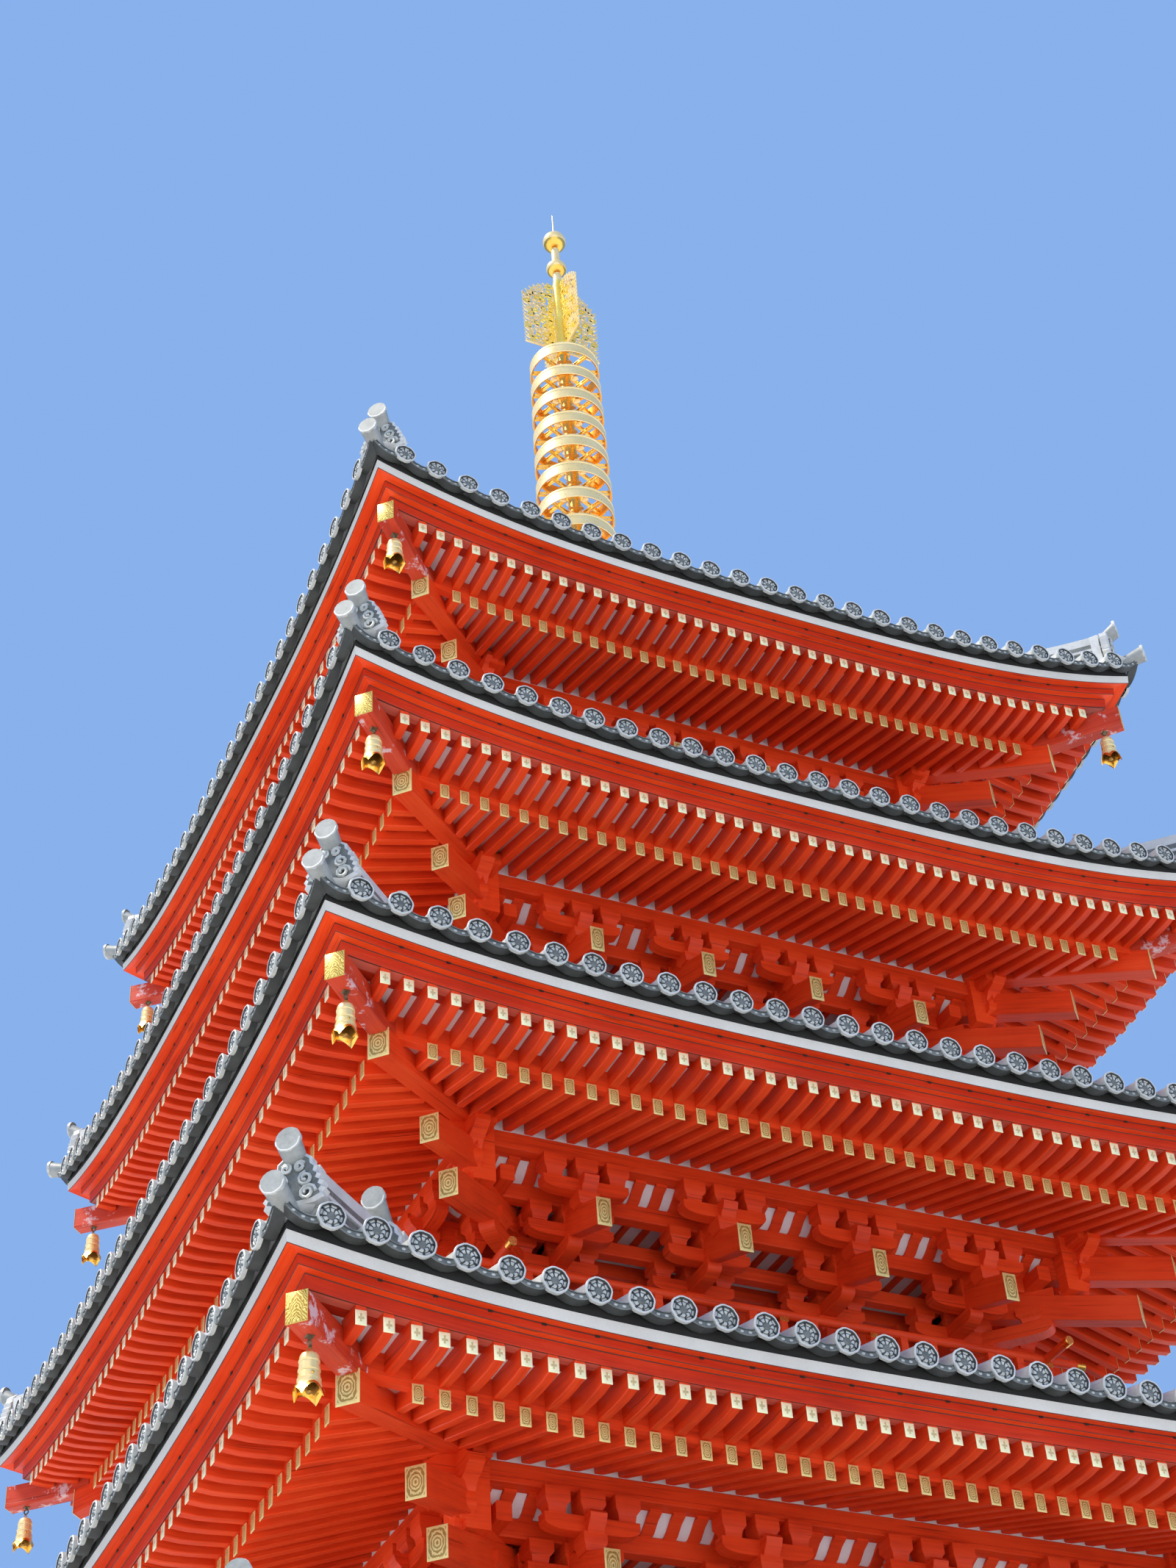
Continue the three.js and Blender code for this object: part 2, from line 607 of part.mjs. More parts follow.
function collar(outer, z0, z1) {
  return post(0, 0, outer, topLevel + z0, topLevel + z1, 8)
    .subtract(post(0, 0, MAST_RADIUS + SEAT, topLevel + z0 - 10, topLevel + z1 + 10, 8));
}
const rings = [collar(HUB_RADIUS, LOTUS_TOP + SEAT, FLAME_LOW - 60)];
RING_LEVELS.forEach((z, i) => {
  const radius = RING_RADIUS_LOW + (RING_RADIUS_HIGH - RING_RADIUS_LOW) * i / 8;
  const reach = 0.94 * radius;
  const low = z - RING_BAND / 2;
  const high = z + RING_BAND / 2;
  rings.push(lathe([[radius - RING_THICK, low], [radius, low], [radius, high], [radius - RING_THICK, high],
    [radius - RING_THICK, low]], 12).translate([0, 0, topLevel]));
  rings.push(...[1, 3].map((eighth) => standingPlate(
    [[-reach, topLevel + z - 25], [reach, topLevel + z - 25], [reach, topLevel + z + 25],
      [-reach, topLevel + z + 25]], 30, eighth * Math.PI / 4, 0)
    .subtract(post(0, 0, HUB_RADIUS + 18, topLevel + z - 30, topLevel + z + 30, 4).rotate([0, 0, 45]))));
});
addSolid('spire_rings', joined(rings), gilt);

const flame = [collar(MAST_RADIUS + 22, FLAME_LOW - 60 + SEAT, FLAME_TOP)];
flame.push(...quarterTurns((angle) => standingPlate([
  [MAST_RADIUS + 10, topLevel + FLAME_LOW], [FLAME_REACH, topLevel + FLAME_LOW],
  [FLAME_REACH + 15, topLevel + FLAME_TOP - 340], [FLAME_REACH - 55, topLevel + FLAME_TOP - 230],
  [FLAME_REACH - 185, topLevel + FLAME_TOP - 110], [MAST_RADIUS + 10, topLevel + FLAME_TOP - 20],
], 20, angle, 0)));
addSolid('spire_flame', joined(flame), gilt);
addSolid('spire_jewels', lathe([
  [0, FLAME_TOP + 60 + SEAT], [48, FLAME_TOP + 60 + SEAT], [48, LOWER_BALL - 110], [88, LOWER_BALL - 90],
  [118, LOWER_BALL], [88, LOWER_BALL + 80], [48, LOWER_BALL + 105], [48, UPPER_BALL - 145],
  [95, UPPER_BALL - 115], [135, UPPER_BALL], [95, UPPER_BALL + 100], [30, UPPER_BALL + 145],
  [12, UPPER_BALL + 200], [0, SPIRE_TIP],
], 10).translate([0, 0, topLevel]), gilt);

export default pagoda;
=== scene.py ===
from math import atan2, cos, degrees, hypot, pi, radians, sin, sqrt

import bpy
import numpy as np
from mathutils import Matrix


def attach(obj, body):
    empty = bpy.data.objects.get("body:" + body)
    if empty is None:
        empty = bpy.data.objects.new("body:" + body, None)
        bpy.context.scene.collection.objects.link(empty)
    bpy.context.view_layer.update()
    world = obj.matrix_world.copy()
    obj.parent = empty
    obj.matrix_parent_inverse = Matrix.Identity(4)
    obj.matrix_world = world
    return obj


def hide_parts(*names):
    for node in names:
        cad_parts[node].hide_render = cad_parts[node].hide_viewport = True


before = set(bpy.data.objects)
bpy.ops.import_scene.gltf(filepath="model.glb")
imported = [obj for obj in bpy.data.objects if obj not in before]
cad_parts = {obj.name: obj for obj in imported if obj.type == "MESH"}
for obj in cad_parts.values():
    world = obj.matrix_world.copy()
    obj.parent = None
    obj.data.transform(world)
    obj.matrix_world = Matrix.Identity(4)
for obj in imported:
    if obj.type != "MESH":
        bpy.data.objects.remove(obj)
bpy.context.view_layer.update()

RNG = np.random.default_rng(7)

# Storey data in metres, from the ground storey up, as in the CAD part
EAVE = [4.910, 4.596, 4.284, 3.974, 3.685]
LEVEL = [6.070, 8.850, 11.513, 14.074, 16.460]
BODY = [2.090, 1.860, 1.642, 1.428, 1.218]
RISE = [0.300, 0.300, 0.300, 0.396, 0.431]
POWER = 3.1
TILES = [34, 32, 30, 28, 26]
TILE_PITCH = [0.2765, 0.2745, 0.2735, 0.2695, 0.2700]
FLYING = [50, 48, 46, 44, 42]
BASE = [44, 42, 40, 38, 36]
RAFTER_PITCH = [0.1735, 0.1690, 0.1642, 0.1587, 0.1523]
DECK_DROP = 1.660
ROOF_INNER = 0.550
APEX = 2.150
TOP = LEVEL[4]
TILE_STEP = 0.34
# Base rafters: how far in from the eave they start, their underside there and their slope
BASE_IN, BASE_DROP, BASE_SLOPE = 0.7185, -0.532, 0.36
PURLIN_OUT = 0.88
HANGER_IN, HINGE_DROP = 0.335, 0.310
# Gap under each seated piece
SEAT = 0.0003
SQUARE = ((-1, -1), (1, -1), (1, 1), (-1, 1))
SIDES = ("front", "right", "back", "left")
CORNERS = {"front_left": (-1, -1), "front_right": (1, -1), "back_right": (1, 1), "back_left": (-1, 1)}
RIGHT, UP = (1, 0, 0), (0, 0, 1)
# Directions out along the front right corner and across it
AXIS = np.array([1.0, -1.0, 0]) / sqrt(2)
ACROSS = np.array([1.0, 1.0, 0]) / sqrt(2)


def placed(name, data):
    """New object in the scene"""
    obj = bpy.data.objects.new(name, data)
    bpy.context.collection.objects.link(obj)
    return obj


# Camera at the photograph's place
def set_camera():
    data = bpy.data.cameras.new("camera")
    data.sensor_width, data.lens, data.clip_end = 36.0, 57.93, 400.0
    cam = placed("camera", data)
    right = (0.91079102, -0.40889332, -0.05714867)
    down = (0.22705356, 0.61166902, -0.75783091)
    ahead = (0.34482807, 0.67724978, 0.64994334)
    turn = Matrix([(r, -d, -a) for r, d, a in zip(right, down, ahead)]).to_4x4()
    cam.matrix_world = Matrix.Translation((-8.40377, -16.32132, 1.59991)) @ turn
    bpy.context.scene.camera = cam


set_camera()


# Node materials
class Nodes:
    """A material with its node tree; sockets take a number, a tuple or another node's output"""
    def __init__(self, name):
        self.mat = bpy.data.materials.new(name)
        self.mat.use_nodes = True
        self.tree = self.mat.node_tree
        self.shader = self.tree.nodes["Principled BSDF"]
        self.coords = self.tree.nodes.new("ShaderNodeTexCoord")

    def put(self, socket, value):
        if isinstance(value, bpy.types.NodeSocket):
            self.tree.links.new(value, socket)
        else:
            socket.default_value = (*value, 1.0) if socket.type == "RGBA" else value

    def node(self, kind, inputs, out=0, **values):
        n = self.tree.nodes.new("ShaderNode" + kind)
        for key, value in values.items():
            setattr(n, key, value)
        for key, value in inputs.items():
            self.put(n.inputs[key], value)
        return n.outputs[out]

    def mapped(self, space="Object", scale=(1.0, 1.0, 1.0)):
        return self.node("Mapping", {"Vector": self.coords.outputs[space], "Scale": scale})

    def noise(self, vector, scale=1.0, detail=4.0, rough=0.55, distort=0.0):
        return self.node("TexNoise", {"Vector": vector, "Scale": scale, "Detail": detail, "Roughness": rough,
                                      "Distortion": distort}, "Fac")

    def ramp(self, value, *stops):
        color = self.node("ValToRGB", {"Fac": value}, "Color")
        elements = color.node.color_ramp.elements
        for el, (pos, col) in zip(elements, stops):
            el.position = pos
        while len(elements) < len(stops):
            elements.new(stops[len(elements)][0])
        for el, (pos, col) in zip(elements, stops):
            el.position = pos
            el.color = (col, col, col, 1.0) if isinstance(col, float) else (*col, 1.0)
        return color

    def mix(self, fac, a, b):
        return self.node("Mix", {0: fac, 6: a, 7: b}, 2, data_type="RGBA")

    def math(self, op, a, b=0.5):
        return self.node("Math", {0: a, 1: b}, operation=op)

    def sum(self, *terms):
        """Sum of (value, weight) terms"""
        total = None
        for value, weight in terms:
            part = value if weight == 1 else self.math("MULTIPLY", value, weight)
            total = part if total is None else self.math("ADD", total, part)
        return total

    def finish(self, height, strength, distance, **values):
        bump = self.node("Bump", {"Height": height, "Strength": strength, "Distance": distance})
        for key, value in {"Normal": bump, **values}.items():
            self.put(self.shader.inputs[key.replace("_", " ")], value)
        return self.mat


def timber(name, deep, mid, light, rough=0.5, streak=1.0, spots=False, worn=None):
    """Painted timber: grain along u, slow weather patches, fine cracks"""
    m = Nodes(name)
    grain = m.noise(m.mapped("UV", (1.6, 34.0, 1.0)), 1.0, 5.0, 0.65, 0.6)
    fine = m.noise(m.mapped("UV", (5.0, 150.0, 1.0)), 1.0, 3.0, 0.6)
    patch = m.noise(m.mapped(), 1.7, 3.0)
    col = m.ramp(m.sum((grain, 0.6 * streak), (patch, 0.55)), (0.36, deep), (0.58, mid), (0.82, light))
    crack = m.ramp(m.noise(m.mapped("UV", (0.9, 60.0, 1.0)), 1.0, 2.0, 0.5, 0.3), (0.30, 1.0), (0.34, 0.0))
    col = m.mix(m.math("MULTIPLY", crack, 0.5), col, (deep[0] * 0.35, deep[1] * 0.4, deep[2] * 0.5))
    if worn:
        mask = m.ramp(m.noise(m.mapped(), 6.0, 6.0, 0.7), (0.56, 0.0), (0.62, 1.0))
        col = m.mix(m.math("MULTIPLY", mask, 0.62), col, worn)
    if spots:
        dot = m.node("TexVoronoi", {"Vector": m.mapped("UV", (2.1, 16.0, 1.0)), "Scale": 1.0, "Randomness": 0.9},
                     "Distance")
        mask = m.ramp(dot, (0.10, 1.0), (0.22, 0.0))
        col = m.mix(m.math("MULTIPLY", mask, 0.45), col, (0.045, 0.012, 0.008))
    rgh = m.ramp(fine, (0.2, rough - 0.12), (0.8, rough + 0.14))
    return m.finish(m.sum((grain, 0.7), (crack, -0.8), (fine, 0.3)), 0.35, 0.004, Specular_IOR_Level=0.25,
                    Base_Color=col, Roughness=rgh)


def plain(name, dark, light, rough, scale=6.0, metal=0.0, depth=0.003, strength=0.35, fine=60.0):
    """Two tones in slow and quick patches"""
    m = Nodes(name)
    slow = m.noise(m.mapped(), scale, 5.0, 0.6)
    quick = m.noise(m.mapped(), fine, 3.0, 0.6)
    col = m.ramp(m.sum((slow, 0.75), (quick, 0.25)), (0.34, dark), (0.66, light))
    rgh = m.ramp(quick, (0.2, max(rough - 0.1, 0.05)), (0.8, min(rough + 0.12, 1.0)))
    return m.finish(m.sum((quick, 1), (slow, 1)), strength, depth, Base_Color=col, Roughness=rgh, Metallic=metal)


def gilt_plate(name, ground, line, kind):
    """Gilded end plate: chased pattern from the plate's own u and v, both -1 to 1"""
    m = Nodes(name)
    sep = m.node("SeparateXYZ", {0: m.coords.outputs["UV"]}).node
    u, v = m.math("ABSOLUTE", sep.outputs[0]), m.math("ABSOLUTE", sep.outputs[1])
    reach = m.math("MAXIMUM", u, v)

    def wave(across, scale, distortion, detail, detail_scale=1.0, **kinds):
        return m.node("TexWave", {"Vector": m.node("CombineXYZ", {0: u, 1: across}), "Scale": scale,
                                  "Distortion": distortion, "Detail": detail, "Detail Scale": detail_scale},
                      "Fac", **kinds)

    if kind == "cross":
        band = m.math("ABSOLUTE", m.math("SUBTRACT", m.math("MINIMUM", u, v), 0.07))
        mask = m.math("MULTIPLY", m.ramp(band, (0.07, 1.0), (0.17, 0.0)), m.math("LESS_THAN", reach, 0.62))
    elif kind == "flower":
        rings = wave(v, 1.1, 7.0, 2.0, 1.6, wave_type="RINGS", rings_direction="SPHERICAL")
        inside = m.math("SUBTRACT", 1.0, m.math("GREATER_THAN", reach, 0.88))
        mask = m.math("MULTIPLY", m.ramp(rings, (0.30, 1.0), (0.55, 0.0)), inside)
        mask = m.math("MAXIMUM", mask, m.ramp(m.noise(m.mapped("UV"), 9.0, 2.0), (0.60, 0.0), (0.72, 0.5)))
    else:
        bands = wave(sep.outputs[1], 2.2, 9.0, 1.5, wave_type="BANDS", bands_direction="DIAGONAL")
        mask = m.ramp(bands, (0.35, 1.0), (0.6, 0.0))
    age = m.noise(m.mapped(), 14.0)
    base = m.mix(m.ramp(age, (0.3, 0.0), (0.7, 1.0)), ground, tuple(min(1.0, c * 1.15) for c in ground))
    return m.finish(m.math("SUBTRACT", 1.0, mask), 0.6, 0.004, Base_Color=m.mix(mask, base, line),
                    Roughness=m.ramp(age, (0.3, 0.30), (0.7, 0.46)), Metallic=0.35)


def gilded(name, deep, light, rough, metal=1.0, relief=0.25):
    m = Nodes(name)
    slow, quick = m.noise(m.mapped(), 3.0), m.noise(m.mapped(), 45.0, 3.0)
    return m.finish(m.sum((slow, 1), (quick, 0.4)), relief, 0.003, Metallic=metal,
                    Base_Color=m.ramp(slow, (0.32, deep), (0.68, light)),
                    Roughness=m.ramp(quick, (0.25, rough - 0.06), (0.75, rough + 0.1)))


MATS = {name: maker(name, *values) for name, (maker, *values) in {
    "red": (timber, (0.54, 0.030, 0.004), (0.78, 0.054, 0.007), (0.86, 0.085, 0.016)),
    "red_fascia": (timber, (0.58, 0.030, 0.003), (0.80, 0.054, 0.005), (0.88, 0.092, 0.014), 0.5, 1.2, True),
    # darker copy of the fascia red for the stepped fascia faces: painted shade
    "red_pink": (timber, (0.36, 0.018, 0.003), (0.52, 0.030, 0.005), (0.62, 0.056, 0.014)),
    # dark red on the soffit band between the flying rafters: painted shade
    "red_deep": (timber, (0.30, 0.012, 0.002), (0.44, 0.020, 0.003), (0.50, 0.034, 0.007), 0.55),
    # brighter red for the base rafters and the carved purlin ends: painted bounce light from the ground
    "red_under": (timber, (0.62, 0.034, 0.005), (0.88, 0.066, 0.009), (0.95, 0.105, 0.020)),
    # pinkish red on the board underside just inside the flying rafter ends: painted sheen of light reflected from the
    # ground
    "red_soffit": (timber, (0.52, 0.090, 0.050), (0.68, 0.150, 0.090), (0.76, 0.200, 0.130)),
    "red_worn": (timber, (0.40, 0.026, 0.010), (0.56, 0.048, 0.016), (0.64, 0.085, 0.040), 0.5, 1.0, False,
                 (0.74, 0.66, 0.66)),
    # thin dark strips in the gaps between the fascia boards: painted shadow
    "seam": (plain, (0.060, 0.012, 0.005), (0.130, 0.024, 0.010), 0.7, 8.0),
    "plaster": (plain, (0.74, 0.68, 0.64), (0.88, 0.84, 0.80), 0.85, 2.5),
    # darkened, pink-tinted plaster between the base rafters: painted shade with painted red bounce light
    "plaster_warm": (plain, (0.62, 0.34, 0.28), (0.78, 0.48, 0.42), 0.85, 2.5),
    "white_edge": (plain, (0.58, 0.55, 0.48), (0.70, 0.67, 0.59), 0.7, 2.0),
    # near black: the board under the tile lips and the pegs, and painted shade on the sheet behind the window bars
    "under_board": (plain, (0.010, 0.010, 0.008), (0.024, 0.023, 0.019), 0.75, 3.0),
    "tile": (plain, (0.48, 0.48, 0.45), (0.70, 0.69, 0.64), 0.45, 2.5, 0.1, 0.002, 0.3, 30.0),
    # four ever darker copies of the tile grey: painted shade on rims, recessed faces, grooves, undersides and hollows
    "tile_rim": (plain, (0.40, 0.41, 0.37), (0.58, 0.59, 0.54), 0.45, 9.0, 0.1, 0.002, 0.3, 60.0),
    "tile_mid": (plain, (0.22, 0.23, 0.21), (0.36, 0.37, 0.34), 0.5, 9.0, 0.1, 0.002, 0.3, 60.0),
    "tile_dark": (plain, (0.024, 0.026, 0.023), (0.054, 0.058, 0.052), 0.55, 7.0, 0.1, 0.002, 0.35, 50.0),
    "tile_face": (plain, (0.090, 0.098, 0.088), (0.19, 0.20, 0.18), 0.45, 16.0, 0.1, 0.002, 0.35, 90.0),
    "plate_flying": (gilt_plate, (0.94, 0.84, 0.48), (0.66, 0.54, 0.25), "cross"),
    "plate_base": (gilt_plate, (0.80, 0.63, 0.24), (0.40, 0.26, 0.06), "flower"),
    "plate_hip": (gilt_plate, (0.86, 0.64, 0.16), (0.48, 0.27, 0.03), "wave"),
    "gold": (gilded, (0.90, 0.47, 0.06), (1.0, 0.62, 0.14), 0.24),
    "gold_pale": (gilded, (0.92, 0.66, 0.26), (1.0, 0.78, 0.38), 0.30, 0.45, 0.06),
    "gold_flame": (gilded, (0.96, 0.62, 0.05), (1.0, 0.78, 0.16), 0.26, 0.45, 0.08),
    # deeper gold for the inner side of the spire rings: painted shade
    "gold_deep": (gilded, (0.85, 0.33, 0.02), (0.98, 0.45, 0.05), 0.3),
    "gold_old": (gilded, (0.42, 0.24, 0.06), (0.62, 0.40, 0.12), 0.42),
    "stone": (plain, (0.36, 0.34, 0.31), (0.56, 0.54, 0.50), 0.85, 3.0, 0.0, 0.006, 0.5, 40.0),
    "stone_panel": (plain, (0.26, 0.245, 0.22), (0.42, 0.40, 0.365), 0.88, 3.0, 0.0, 0.006, 0.5, 40.0),
    "stone_joint": (plain, (0.16, 0.15, 0.13), (0.26, 0.25, 0.23), 0.9, 8.0),
    "green": (timber, (0.020, 0.085, 0.050), (0.030, 0.130, 0.075), (0.060, 0.190, 0.110)),
    "deck": (timber, (0.30, 0.030, 0.014), (0.42, 0.055, 0.024), (0.52, 0.100, 0.050), 0.6),
    "bell_dark": (plain, (0.10, 0.07, 0.04), (0.22, 0.16, 0.08), 0.5, 12.0, 0.6),
}.items()}
MAT_NAMES = list(MATS)


# Mesh building: a shape is (vertices, loops, face sizes, loop uv, face material, face smooth)
def face_normals(v, loops, sizes):
    """Each face's start, each loop's face, and each face's area vector"""
    starts = np.concatenate([[0], np.cumsum(sizes)[:-1]]).astype(int)
    face = np.repeat(np.arange(len(sizes)), sizes)
    nxt = np.arange(len(loops)) + 1
    nxt[starts + sizes - 1] = starts
    normal = np.zeros((len(sizes), 3))
    np.add.at(normal, face, np.cross(v[loops], v[loops[nxt]]))
    return starts, face, normal


def shape(verts, faces, mat="red", smooth=False, uv=None):
    """Faces over points; mat is one name or a name for each face, and uv is a box mapping when not given"""
    v = np.asarray(verts, float).reshape(-1, 3)
    sizes = np.array([len(f) for f in faces], int)
    loops = np.array([i for f in faces for i in f], int)
    if uv is None:
        _, face, normal = face_normals(v, loops, sizes)
        axis = np.argmax(np.abs(normal), axis=1)[face]
        p = v[loops]
        uv = np.stack([np.where(axis == 0, p[:, 1], p[:, 0]), np.where(axis == 2, p[:, 1], p[:, 2])], 1)
    names = [mat] * len(faces) if isinstance(mat, str) else mat
    mats = np.array([MAT_NAMES.index(m) for m in names], int)
    return v, loops, sizes, np.asarray(uv, float), mats, np.full(len(sizes), bool(smooth))


def join(shapes):
    shapes = [s for s in shapes if s is not None]
    offset = np.cumsum([0] + [len(s[0]) for s in shapes])[:-1]
    loops = np.concatenate([s[1] + o for s, o in zip(shapes, offset)])
    v, sizes, uv, mats, smooth = (np.concatenate([s[k] for s in shapes]) for k in (0, 2, 3, 4, 5))
    return v, loops, sizes, uv, mats, smooth


def moved(s, m=None, at=(0, 0, 0), shift=True):
    v = s[0] if m is None else s[0] @ np.asarray(m, float).T
    uv = s[3] + RNG.uniform(0, 40, 2) if shift else s[3]
    return (v + np.asarray(at, float), s[1], s[2], uv, s[4], s[5])


def turned(s):
    """Same faces looking the other way"""
    v, loops, sizes, uv, mats, smooth = s
    starts, face, _ = face_normals(v, loops, sizes)
    back = (2 * starts + sizes - 1)[face] - np.arange(len(loops))
    return v, loops[back], sizes, uv[back], mats, smooth


def outward(s):
    """Closed shape with its faces looking out"""
    starts, _, normal = face_normals(*s[:3])
    return s if (s[0][s[1][starts]] * normal).sum() >= 0 else turned(s)


def spin(deg):
    """Turn about z"""
    c, s = cos(radians(deg)), sin(radians(deg))
    return np.array([[c, -s, 0], [s, c, 0], [0, 0, 1.0]])


def tip(deg):
    """Turn about x"""
    c, s = cos(radians(deg)), sin(radians(deg))
    return np.array([[1.0, 0, 0], [0, c, -s], [0, s, c]])


def four(shapes):
    """Shapes of the front side, repeated on the other three"""
    s = join(shapes)
    return join([(s[0] @ spin(90 * k).T, *s[1:]) for k in range(4)])


def grid(points, mat="red", smooth=True):
    """points[i][j] lie on a sheet; faces look along (di x dj)"""
    p = np.asarray(points, float)
    a, b = p.shape[:2]
    faces = [[i * b + j, (i + 1) * b + j, (i + 1) * b + j + 1, i * b + j + 1]
             for i in range(a - 1) for j in range(b - 1)]
    return shape(p, faces, mat, smooth)


def loft(rings, mat="red", smooth=False, wrap=False, uv=None):
    """Closed body through rings of points, with both ends filled, or the last ring joined to the first"""
    p = np.asarray(rings, float)
    a, n = p.shape[:2]
    faces = [[i * n + j, i * n + (j + 1) % n, (i + 1) % a * n + (j + 1) % n, (i + 1) % a * n + j]
             for i in range(a - 1 + wrap) for j in range(n)]
    if not wrap:
        faces += [list(range(n))[::-1], [(a - 1) * n + j for j in range(n)]]
    return outward(shape(p, faces, mat, smooth, uv))


def prism(outline, x0, x1, mat="red"):
    """Outline of (y, z) run along x"""
    return loft([[(x, y, z) for y, z in outline] for x in (x0, x1)], mat)


def cut_square(a0, a1, b0, b1, c):
    """Section from a0 to a1 and b0 to b1 with its corners cut by c"""
    return [(a0 + c, b0), (a1 - c, b0), (a1, b0 + c), (a1, b1 - c),
            (a1 - c, b1), (a0 + c, b1), (a0, b1 - c), (a0, b0 + c)]


def bar(x0, x1, y0, y1, z0, z1, mat="red", cut=0.008):
    """Squared timber along its longest side with chamfered long edges"""
    ends = [(x0, x1), (y0, y1), (z0, z1)]
    size = [b - a for a, b in ends]
    axis = int(np.argmax(size))
    l0, l1 = ends.pop(axis)
    s = prism(cut_square(*ends[0], *ends[1], min(cut, min(size) * 0.3)), l0, l1, mat)
    s = (s[0][:, ((0, 1, 2), (1, 0, 2), (1, 2, 0))[axis]], *s[1:])
    return turned(s) if axis == 1 else s


def slat(x0, x1, y0, y1, z0, z1, mat="red"):
    """Small squared piece whose top is hidden"""
    v = [(x, y, z) for z in (z0, z1) for x, y in ((x0, y0), (x1, y0), (x1, y1), (x0, y1))]
    return shape(v, [[3, 2, 1, 0], [0, 1, 5, 4], [1, 2, 6, 5], [2, 3, 7, 6], [3, 0, 4, 7]], mat)


def crossed(e, lo, hi, z0, z1, cut=0.008):
    """Front timber out to e on both sides, lo to hi from the middle; the next side's timber runs through it"""
    parts = [bar(-e, lo - 0.0005, -hi, -lo, z0, z1, "red", cut)]
    if e > hi + 0.02:
        parts.append(bar(hi + 0.0005, e, -hi, -lo, z0, z1, "red", cut))
    return join(parts)


def quarter(r, z, mat, up=True):
    """Front quarter of a level square that reaches r from the middle"""
    return shape([(-r, -r, z), (r, -r, z), (0, 0, z)], [[0, 1, 2] if up else [0, 2, 1]], mat)


def lathe(profile, segments, mat="gold", bend=None):
    """Profile (radius, z) turned about z, one material or one for each step; bend changes a point on the way"""
    n = len(profile)
    v, faces, mats = [], [], []
    for i in range(segments):
        a = 2 * pi * i / segments
        here, there = i * n, (i + 1) % segments * n
        for j, (r, z) in enumerate(profile):
            if bend:
                r, z = bend(a, j, r, z)
            v.append((r * cos(a), r * sin(a), z))
        for j in range(n - 1):
            f = [here + j, there + j, there + j + 1, here + j + 1]
            if profile[j][0] < 1e-6:
                f.pop(1)
            elif profile[j + 1][0] < 1e-6:
                f.pop(2)
            faces.append(f)
            mats.append(mat if isinstance(mat, str) else mat[j])
    uv = [(profile[p % n][1], v[p][0] + v[p][1]) for f in faces for p in f]
    return shape(v, faces, mats, True, uv)


def beam(p0, p1, w, h, mat="red", cut=0.006):
    """Squared timber between two bottom-centre points, upright section w by h, grain along it"""
    p0, p1 = np.array(p0, float), np.array(p1, float)
    d = p1 - p0
    side = np.array([-d[1], d[0], 0.0]) / hypot(d[0], d[1])
    prof = cut_square(-w / 2, w / 2, 0, h, min(cut, w * 0.3, h * 0.3))
    steps = [hypot(a - c, b - d) for (a, b), (c, d) in zip(prof, prof[1:] + prof[:1])]
    around = np.concatenate([[0.0], np.cumsum(steps)])
    u0, w0 = RNG.uniform(0, 20, 2)
    far = u0 + float(np.linalg.norm(p1 - p0))
    uv = []
    for a, b in zip(around, around[1:]):
        uv += [(u0, w0 + a), (u0, w0 + b), (far, w0 + b), (far, w0 + a)]
    cap = [(w0 + a, u0 + b) for a, b in prof]
    return loft([[p + side * a + np.array([0, 0, b]) for a, b in prof] for p in (p0, p1)], mat, uv=uv + cap[::-1] + cap)


def plate(c, right, w, h, t=0.007, mat="plate_flying", bevel=0.005):
    """Chased upright metal cap: c is the middle of its back, and it faces along right x up"""
    c, right, up = (np.array(a, float) for a in (c, right, UP))
    out = np.cross(right, up)
    v = [c + right * sx * (w / 2 - a) + up * sz * (h / 2 - a) + out * b
         for a, b in ((0.0, 0.0), (0.0, t - bevel * 0.6), (bevel, t)) for sx, sz in SQUARE]
    faces = [[8, 9, 10, 11]]
    faces += [[k + i, k + (i + 1) % 4, k + 4 + (i + 1) % 4, k + 4 + i] for k in (0, 4) for i in range(4)]
    return shape(v, faces, mat, False, [*SQUARE] + [(0.97, 0.97)] * 32)


def tube(points, radii, sides=6, mat="gold"):
    """Round wire through points"""
    p = np.array(points, float)
    last = len(p) - 1
    rings = []
    normal = None
    for i, r in enumerate(radii):
        d = p[min(i + 1, last)] - p[max(i - 1, 0)]
        d /= np.linalg.norm(d) + 1e-12
        if normal is None:
            normal = np.cross(d, (0, 0, 1.0) if abs(d[2]) < 0.9 else (1.0, 0, 0))
        normal = normal - d * np.dot(normal, d)
        normal /= np.linalg.norm(normal) + 1e-12
        other = np.cross(d, normal)
        rings.append([p[i] + r * (normal * cos(t) + other * sin(t)) for t in 2 * pi * np.arange(sides) / sides])
    return loft(rings, mat, True)


def ribbon(points, thick, wide, mat, taper=False):
    """Flat band in the x-z plane that follows the points, wide in the plane and thick across it"""
    p = np.array(points, float)
    last = len(p) - 1
    rings = []
    for i in range(last + 1):
        d = p[min(i + 1, last)] - p[max(i - 1, 0)]
        d /= np.linalg.norm(d) + 1e-12
        w = wide / 2 * (max(0.12, 1 - i / last) if taper else 1)
        rings.append([p[i] + np.array([d[2] * w * a, thick / 2 * b, -d[0] * w * a]) for a, b in SQUARE])
    return loft(rings, mat)


